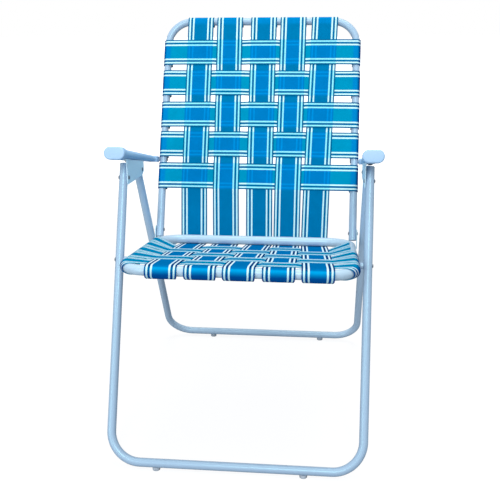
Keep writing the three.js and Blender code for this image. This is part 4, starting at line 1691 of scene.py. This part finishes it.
@dataclass
class Straps:
    """The woven webbing: five straps down over back and seat, and ten across.

    Attributes:
        back_places: height up the back of each cross strap, in millimetres.
        seat_places: distance along the seat of each cross strap.
        top_shares: X of each lengthwise strap at the top, in pitches.
        foot_shares: the same at the seat's rear tube.
        front_shares: the same at the seat's front tube.
        top_tube: where the painted light of the top tube behind starts, and over what run.
        side_tube: the same for the back's side tubes.
        side_shade: where painted shade starts as a strap turns under the back's side tubes, and the
            run.
        seat_shade: the same at the seat's side tubes.
        front_bright: where the painted sheen starts round the front tube, in degrees, and over what
            run.
        front_shade: the same for the painted shade below it.
        front_hold: the same for the gathering toward the tail.
        run_in: how far inside the top and front tubes, and the rear one, a run starts.
    """

    width: float = 57.15 * MM
    thickness: float = 1.05 * MM
    tail: float = 9.5 * MM
    slack: float = 4 * MM
    gather: float = 0.08
    lift: float = 0.62 * MM
    rest: float = 0.8 * MM
    pitch: float = 69.05 * MM
    back_places: tuple = (118.643, 189.257, 255.879, 326.885, 396.845)
    seat_places: tuple = (-54.925, 5.225, 65.375, 125.525, 185.675)
    top_shares: tuple = (-1.968, -1.027, 0.061, 1.005, 2.001)
    foot_shares: tuple = (-1.972, -0.954, 0.1, 0.975, 1.842)
    front_shares: tuple = (-1.887, -0.893, 0.083, 1.07, 2.05)
    top_tube: tuple = (-11.5 * MM, 6.5 * MM)
    side_tube: tuple = (-8.5 * MM, 3.5 * MM)
    side_shade: tuple = (2.5 * MM, 4.5 * MM)
    seat_shade: tuple = (3 * MM, 7 * MM)
    front_bright: tuple = (34, 16)
    front_shade: tuple = (62, 52)
    front_hold: tuple = (100, 50)
    front_turn: float = 210
    knot_gap: float = 0.6 * MM
    front_tail: tuple = (4 * MM, 1.6 * MM)
    front_screw: tuple = (8 * MM, 0.6 * MM)
    run_in: tuple = (1 * MM, 2 * MM)
    step: float = 2.4 * MM
    wrap_steps: int = 18
    knee_steps: int = 10
    front_points: int = 29
    cells: int = 18
    count: int = 5
    sharp: float = 80.0

    def __post_init__(self) -> None:
        """Turn the tables into arrays in metres."""
        self.back_at = np.array(self.back_places) * MM
        self.seat_at = np.array(self.seat_places) * MM
        self.back_wrap = BONES.thin_tube + self.rest
        self.seat_wrap = BONES.seat_tube + self.rest

    def section(self) -> tuple[Array, Array]:
        """Loop round a strap's section: flat faces and half round edges.

        Returns:
            Place across the strap, and through it.
        """
        edge = self.thickness / 2
        flat = np.linspace(-1, 1, self.cells + 1) * (self.width / 2 - edge)
        side_x, side_y = edge * heading(np.array([60, 20, -20, -60])).T
        side_x = side_x + flat[-1]
        across = np.concatenate([flat, side_x, flat[::-1], -side_x[::-1]])
        through = np.concatenate([0 * flat + edge, side_y, 0 * flat - edge, side_y[::-1]])
        return across, through

    def ribbon(
        self, line: Array, through: Array, side: Array, share: Numbers = 1.0
    ) -> tuple[Array, Array, Array]:
        """Carries the section along a line.

        Formula: each point is the line's, plus the place across times the side
        direction, plus the place through times the direction through.

        Args:
            line: points of the middle line.
            through: unit direction through the strap at each.
            side: unit direction across the strap.
            share: share of its full width that the strap has at each.

        Returns:
            The grid, its UV, and the place across each point.
        """
        across, depth = self.section()
        wide = across * np.broadcast_to(share, len(line))[:, None]
        grid = line[:, None] + wide[..., None] * side + depth[:, None] * through[:, None]
        shape = grid.shape[:2]
        u = np.broadcast_to(across / self.width + 0.5, shape)
        v = np.broadcast_to((run_lengths(line) / self.width)[:, None], shape)
        return grid, np.stack([u, v], -1), np.broadcast_to(across, shape)

    def level(self, place: Numbers) -> Array:
        """Level of the woven seat: over the front tube, under the rear one."""
        share = (place - BONES.front_tube) / BONES.seat_depth
        return self.seat_wrap * (1 - 2 * share)

    def strap_x(self, index: int, back_place: Array, seat_place: Array, seat: Array) -> Array:
        """Where a lengthwise strap's middle lies across the chair.

        Args:
            index: which strap, from the right.
            back_place: height up the back.
            seat_place: distance along the seat.
            seat: 0 on the back, 1 on the seat.

        Returns:
            X of the strap's middle.
        """
        top, foot, front = self.top_shares[index], self.foot_shares[index], self.front_shares[index]
        on_back = foot + (top - foot) * back_place / BONES.back_length
        share = (seat_place - BONES.front_tube) / BONES.seat_depth
        on_seat = front + (foot - front) * share
        return self.pitch * (on_back + (on_seat - on_back) * seat)

    def all_x(self, back_place: Array, seat_place: Array, seat: float) -> Array:
        """X of the middle of every lengthwise strap, one after another."""
        where = back_place, seat_place, seat
        return np.array([self.strap_x(index, *where) for index in range(self.count)])

    def lifts(self, index: int) -> Array:
        """Levels of a strap at its crossings, -1 under and 1 over, in turn."""
        return np.where((index + np.arange(self.count)) % 2 == 0, -1.0, 1.0)

    def weave(self, middles: Array, lifts: Array) -> tuple[Array, Array]:
        """Knots of a weave: one level across each crossing.

        Args:
            middles: middle of each crossing strap along this one.
            lifts: 1 over and -1 under each of them.

        Returns:
            Two knots for each crossing, and the level at each.
        """
        reach = self.width / 2 + self.knot_gap
        knots = np.stack([middles - reach, middles + reach], -1).ravel()
        return knots, np.repeat(lifts, 2) * self.lift

    def sampled(self, start: float, end: float) -> Array:
        """Evenly spaced places from start to end."""
        return np.linspace(start, end, max(int(abs(end - start) / self.step), 2) + 1)

    def long_line(self, index: int) -> StrapLine:
        """The side view line of a lengthwise strap, from its top tail to its front one.

        Args:
            index: which strap, from the right.

        Returns:
            The line, with what lies under each run.
        """
        line, length, wrap = StrapLine(), BONES.back_length, self.seat_wrap
        front, depth = BONES.front_tube, BONES.rear_tube
        behind = BONES.on_back(length - self.tail, -self.back_wrap)
        top = BONES.on_back(length, -self.back_wrap)
        line.add(behind, 1.0, shade=1.0)
        line.add(spaced(behind, top, self.step), 1.0, shade=1.0)
        back = -BONES.front_lean
        middle = BONES.on_back(length, 0.0)
        line.add(arc(middle, self.back_wrap, back, back + 180, self.wrap_steps), 1.0)
        knots, levels = self.weave(self.back_at, self.lifts(index))
        short, long = self.run_in
        heights = self.sampled(length - short, knots[0])
        lifted = eased(heights, np.append(knots, length), np.append(levels, 0.0))
        # Painted light of the top tube behind the strap, rising toward the top.
        tube_light = rising(heights - length, *self.top_tube)
        line.add(BONES.on_back(heights, self.back_wrap + lifted), tube_light)
        rear, bend = BONES.on_seat(depth, 0.0), line.end
        under = -90 - BONES.seat_fall - math.degrees(math.atan2(2 * wrap, BONES.seat_depth))
        turn = arc(rear, wrap, touch_angle(rear, wrap, bend, -1), under, self.knee_steps)
        line.add(spaced(bend, turn[0], self.step * 1.6))
        line.add(turn, 1.0, np.linspace(0, 1, len(turn)) ** 1.5)
        knots, levels = self.weave(self.seat_at, -self.lifts(index))
        places = self.sampled(depth - long, front + short)
        lifted = eased(places, np.array([front, *knots, depth]), np.array([0, *levels, 0]))
        line.add(BONES.on_seat(places, self.level(places) + lifted), 0.0, 1.0)
        turn = np.linspace(0, self.front_turn, self.front_points)
        # Round the front tube: a band of painted sheen, then painted shade below it.
        bright, dim = rising(turn, *self.front_bright), rising(turn, *self.front_shade)
        line.add(self.front_wrap(turn), bright, 1.0, rising(turn, *self.front_hold), dim)
        beyond, inside = self.front_tail
        tail = BONES.on_seat(front + self.tail + beyond, inside - wrap)
        line.add(spaced(line.end, tail, self.step), 1.0, 1.0, 1.0, 1.0)
        line.add(tail, 1.0, 1.0, 1.0, 1.0)
        return line

    def front_wrap(self, turn: Array) -> Array:
        """The strap round the seat's front tube, loose below.

        Formula: the distance from the tube's middle is the wrap's radius plus the
        slack times the squared sine of pi times a share of the turn to the power
        2.2, so it touches at the top and at the end and stands off in between.

        Args:
            turn: degrees round the tube from its top.

        Returns:
            Rows of (rearward, up).
        """
        off = self.slack * np.sin(math.pi * (turn / turn[-1]) ** 2.2) ** 2
        ring = heading(turn + 90 - BONES.seat_fall)
        return BONES.on_seat(BONES.front_tube, 0.0) + (self.seat_wrap + off)[:, None] * ring

    @staticmethod
    def wander(at: Array, seed: int, size: float, wave: tuple[float, float]) -> Array:
        """A slow sideways wave of a strap.

        Formula: the size times the sine of the place over a length plus a phase;
        first the length and then the phase are drawn.

        Args:
            at: places along the strap.
            seed: seed of the two draws.
            size: how far it goes to each side.
            wave: the least length, and how much more a draw may add.

        Returns:
            The shift at each place.
        """
        draw = np.random.default_rng(seed)
        return size * np.sin(at / (wave[0] + wave[1] * draw.random()) + 6 * draw.random())

    def strap(
        self, name: str, grid: Array, uv: Array, marks: Sequence[Numbers], material: Material
    ) -> bpy.types.Object:
        """Makes a strap's piece.

        Args:
            name: its name.
            grid: its points.
            uv: its UV.
            marks: values of MARKS in their order, each for all points or a row.
            material: its finish.

        Returns:
            The object.
        """
        painted = {mark: np.broadcast_to(value, uv.shape[:2]) for mark, value in zip(MARKS, marks)}
        return make_piece(name, [Surface(grid, uv=uv, marks=painted)], material, self.sharp)

    def long_strap(self, index: int, material: Material) -> None:
        """Builds one lengthwise strap, in one piece over back and seat.

        Args:
            index: which strap, from the right.
            material: its finish.
        """
        places, tube, seat, hold, shade = self.long_line(index).joined()
        back_place = (places - BONES.back_pivot) @ BONES.front_up
        seat_place = (places - BONES.seat_pivot) @ BONES.seat_rear
        run = run_lengths(places)
        wander = self.wander(run, 40 + index, 0.35 * MM, (0.11, 0.02))
        line = in_space(self.strap_x(index, back_place, seat_place, seat) + wander, places)
        headings = unit(np.gradient(places, axis=0))
        through = in_space(0.0, np.column_stack([headings[:, 1], -headings[:, 0]]))
        gathered = 1 - self.gather * (1 - np.sqrt(1 - hold**2))
        grid, uv, _ = self.ribbon(line, through, np.array([1.0, 0.0, 0.0]), gathered)
        on_back = np.abs(back_place[:, None] - self.back_at).min(1)
        on_seat = np.abs(seat_place[:, None] - self.seat_at).min(1)
        apart = np.where(seat > 0.5, on_seat, on_back) / self.width
        marks = [mark[:, None] for mark in (apart, tube, seat, shade)]
        number = index + 1
        piece = self.strap(f"strap_down_{number}", grid, uv, marks, material)
        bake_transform(piece)
        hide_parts(f"seat_strap_{number}", f"back_strap_{number}")
        LOG.info("%s is %.0f mm long", piece.name, run[-1] / MM)

    def cross_line(
        self, half: float, wrap: float, middles: Array, lifts: Array, level: float
    ) -> StrapLine:
        """The line of a cross strap in X and height over its frame's plane.

        Args:
            half: X of the side tubes.
            wrap: radius at which the strap wraps them.
            middles: X of each lengthwise strap there.
            lifts: 1 over and -1 under each of them.
            level: height of the weave.

        Returns:
            The line, from the right tail to the left one.
        """
        line = StrapLine()
        knots, levels = self.weave(middles, lifts)
        ends = np.column_stack([knots, level + levels])[[0, -1]]
        right, left = np.array([-half, 0.0]), np.array([half, 0.0])
        start, end = touch_angle(right, wrap, ends[0], 1), touch_angle(left, wrap, ends[1], -1)
        right_wrap = arc(right, wrap, -90, start - 360, self.wrap_steps)
        left_wrap = arc(left, wrap, end, -90, self.wrap_steps)
        tails = np.array([(self.tail - half, -wrap), (half - self.tail, -wrap)])
        line.add(tails[0], 1.0, hold=1.0)
        line.add(spaced(tails[0], [-half, -wrap], self.step), 1.0, hold=1.0)
        line.add(right_wrap, 1.0, hold=1.0)
        lead = spaced(right_wrap[-1], ends[0], self.step)
        line.add(lead, hold=np.linspace(1, 0, len(lead) + 2)[1:-1])
        at = self.sampled(knots[0], knots[-1])
        line.add(np.column_stack([at, level + eased(at, knots, levels)]))
        lead = spaced(ends[1], left_wrap[0], self.step)
        line.add(lead, hold=np.linspace(0, 1, len(lead) + 2)[1:-1])
        line.add(left_wrap, 1.0, hold=1.0)
        line.add(spaced([half, -wrap], tails[1], self.step), 1.0, hold=1.0)
        line.add(tails[1], 1.0, hold=1.0)
        return line

    def across(
        self, line: StrapLine, origin: Array, up: Array, down: Array
    ) -> tuple[Array, Array, Array, Array]:
        """Gives a cross strap's line its width.

        Args:
            line: its line.
            origin: its middle in the side view.
            up: side view direction of height over the frame's plane.
            down: side view direction across the strap.

        Returns:
            The grid, its UV, place across and hold of each point.
        """
        flat, _, _, hold, _ = line.joined()
        headings = unit(np.gradient(flat, axis=0))
        middle = in_space(flat[:, 0], origin + flat[:, 1, None] * up)
        through = in_space(-headings[:, 1], headings[:, 0, None] * up)
        grid, uv, across = self.ribbon(middle, through, np.array([0.0, *down]))
        return grid, uv, across, np.broadcast_to(hold[:, None], across.shape)

    def nearest(self, grid: Array, back_place: Array, seat_place: Array, seat: float) -> Array:
        """Distance to the nearest lengthwise strap's middle, in strap widths.

        Args:
            grid: points of a cross strap.
            back_place: height up the back of each.
            seat_place: distance along the seat of each.
            seat: 0 on the back, 1 on the seat.

        Returns:
            The distance of each point.
        """
        middles = self.all_x(back_place + 0 * grid[..., 0], seat_place, seat)
        return np.abs(grid[..., 0] - middles).min(0) / self.width

    def cross_strap(
        self, body: str, index: int, grid: Array, uv: Array, marks: tuple, material: Material
    ) -> None:
        """Makes and mounts one cross strap.

        Args:
            body: "back" or "seat".
            index: which strap, as its table lists them.
            grid: its points.
            uv: its UV.
            marks: values of MARKS in their order.
            material: its finish.
        """
        number = index + 1
        piece = self.strap(f"strap_across_{body}_{number}", grid, uv, marks, material)
        ride(piece, body, "webbing_crosswise", f"{body}_cross_strap_{number}")
        length = float(uv[-1, 0, 1] * self.width)

    def back_cross(self, index: int, material: Material) -> None:
        """Builds one strap across the back.

        Args:
            index: which strap, from below.
            material: its finish.
        """
        place, half, wrap = self.back_at[index], BONES.back_half, self.back_wrap
        down = -BONES.front_up
        line = self.cross_line(half, wrap, self.all_x(place, 0.0, 0.0), -self.lifts(index), wrap)
        grid, uv, across, _ = self.across(line, BONES.on_back(place, 0.0), BONES.back_front, down)
        wander = self.wander(grid[..., 0], 60 + index, 0.4 * MM, (0.09, 0.03))
        grid = grid + wander[..., None] * np.array([0.0, *down])
        beyond = np.abs(grid[..., 0]) - half
        over = self.nearest(grid, place - across, 0.0, 0.0)
        # Painted light of the side tubes behind, and painted shade where the strap turns under
        # them.
        marks = over, rising(beyond, *self.side_tube), 0.0, rising(beyond, *self.side_shade)
        self.cross_strap("back", index, grid, uv, marks, material)

    def corner(self, place: Numbers) -> tuple[Array, Array]:
        """How far the seat's side tube has turned inward at a place, and its slope.

        Formula: on a bend of radius R a distance d past its start, the tube has come
        inward by R minus the root of R squared minus d squared.

        Args:
            place: distances along the seat.

        Returns:
            The inset at each place, and the length of tube for each length of seat.
        """
        into_front = BONES.front_bend + BONES.front_tube - place
        into_rear = place - BONES.rear_tube + BONES.rear_bend
        radius = np.where(into_front > 0, BONES.front_bend, BONES.rear_bend)
        into = np.maximum(np.maximum(into_front, into_rear), 0)
        run = np.sqrt(radius**2 - np.minimum(into, radius * 0.98) ** 2)
        return radius - run, radius / run

    def seat_cross(self, index: int, material: Material) -> None:
        """Builds one strap across the seat; it follows the loop's corners.

        Args:
            index: which strap, from the front.
            material: its finish.
        """
        place, half, level = self.seat_at[index], BONES.seat_half, self.level(self.seat_at[index])
        middles = self.all_x(0.0, place, 1.0)
        line = self.cross_line(half, self.seat_wrap, middles, self.lifts(index), level)
        origin = BONES.on_seat(place, 0.0)
        grid, uv, across, hold = self.across(line, origin, BONES.seat_up, -BONES.seat_rear)
        rearward = place - across
        tip = (self.level(rearward) - level) * (1 - hold)
        inset, stretch = self.corner(rearward)
        reach = np.abs(grid[..., 0])
        moved = half - inset + (reach - half) * stretch
        x = np.sign(grid[..., 0]) * (reach + (moved - reach) * hold)
        grid = np.concatenate([x[..., None], grid[..., 1:] + tip[..., None] * BONES.seat_up], -1)
        over = self.nearest(grid, 0.0, rearward, 1.0)
        # Painted shade where the strap turns under the seat's side tubes.
        marks = over, 0.0, 1.0, rising(reach - half, *self.seat_shade)
        self.cross_strap("seat", index, grid, uv, marks, material)

    def end_screws(self, material: Material) -> None:
        """Small screws that pin the straps' ends to the tubes, out of sight in front.

        Args:
            material: their finish.
        """
        profile, head = PAN_HEAD[1:] * 0.7, self.thickness / 2
        on_back, on_seat = -self.back_wrap - head, -self.seat_wrap - head
        back, seat = [], []
        for side, _ in HANDS:
            for high, rearward in zip(self.back_at, self.seat_at):
                inset = float(self.corner(rearward)[0])
                back.append((side * BONES.back_half, *BONES.on_back(high, on_back)))
                seat.append((side * (BONES.seat_half - inset), *BONES.on_seat(rearward, on_seat)))
        behind, inside = self.front_screw
        for top, front in zip(self.top_shares, self.front_shares):
            back.append((self.pitch * top, *BONES.on_back(BONES.back_length, on_back)))
            place = BONES.on_seat(BONES.front_tube + behind, on_seat + inside)
            seat.append((self.pitch * front, *place))
        for body, spots, up in (("back", back, BONES.back_front), ("seat", seat, BONES.seat_up)):
            heads = [turned(profile, spot, (0.0, *-up), 12) for spot in spots]
            ride(make_piece(f"{body}_strap_screws", heads, material), body, "rivet_steel")

    def build(self, finishes: Finishes) -> None:
        """Builds every strap and the screws at their ends.

        Args:
            finishes: the chair's finishes.
        """
        for index in range(self.count):
            self.long_strap(index, finishes.lengthwise)
            self.back_cross(index, finishes.crosswise)
            self.seat_cross(index, finishes.crosswise)
        self.end_screws(finishes.steel)


def pivots(finishes: Finishes) -> None:
    """Builds the rivets, spacers and washers on the pivots' lines.

    Args:
        finishes: the chair's finishes.
    """
    arm, leg, rear = BONES.arm_pivot, BONES.rear_leg_pivot, BONES.arm_rear_pivot
    seat, back = BONES.seat_pivot, BONES.back_pivot
    for name, node, body, place, start, end in (
        ("front_leg_pin_{}", "front_leg_rivet_{}", "arms", arm, 220.375, 239.275),
        ("rear_leg_pin_{}", "rear_leg_rivet_{}", "arms", leg, 220.375, 239.275),
        ("seat_pin_{}", "seat_rivet_{}", "front_legs", seat, 194.682, 238.38),
        ("back_pin_{}", "back_hinge_rivet_{}", "back", back, 200.175, 218.575),
        ("arm_rear_pin_{}", "arm_rear_rivet_{}", "back", rear, 200.175, 223.325),
    ):
        Rivet(name, node, body, place, start, end).build(finishes.steel)
    names = "seat_spacer_ring_{}", "seat_spacer_{}", "front_legs", "bracket_paint"
    Collar(*names, seat, 215.58, 221.78, 6).build(finishes.frame)
    names = "arm_washer_ring_{}", "arm_rear_washer_{}", "back", "rivet_steel"
    Collar(*names, rear, 216.775, 218.225, 4.3).build(finishes.frame)


def main() -> None:
    """Build the studio, the frames, the armrests and the webbing, in that order."""
    logging.basicConfig(level=logging.INFO, format="%(name)s: %(message)s")
    Studio().build()
    finishes = Finishes()
    front = LegFrame("front", BONES.arm_pivot, BONES.front_up, 27 * MM, 227.975 * MM, -10 * MM)
    rear = LegFrame("rear", BONES.rear_leg_pivot, BONES.rear_up, 11 * MM, 231.975 * MM, 9 * MM)
    front.build(finishes.frame, finishes.foot)
    rear.build(finishes.rear_frame, finishes.foot)
    SeatLoop().build(finishes)
    BackBow().build(finishes.frame)
    Armrests().build(finishes)
    HingeBracket().build(finishes)
    pivots(finishes)
    Straps().build(finishes)


if __name__ == "__main__":
    main()
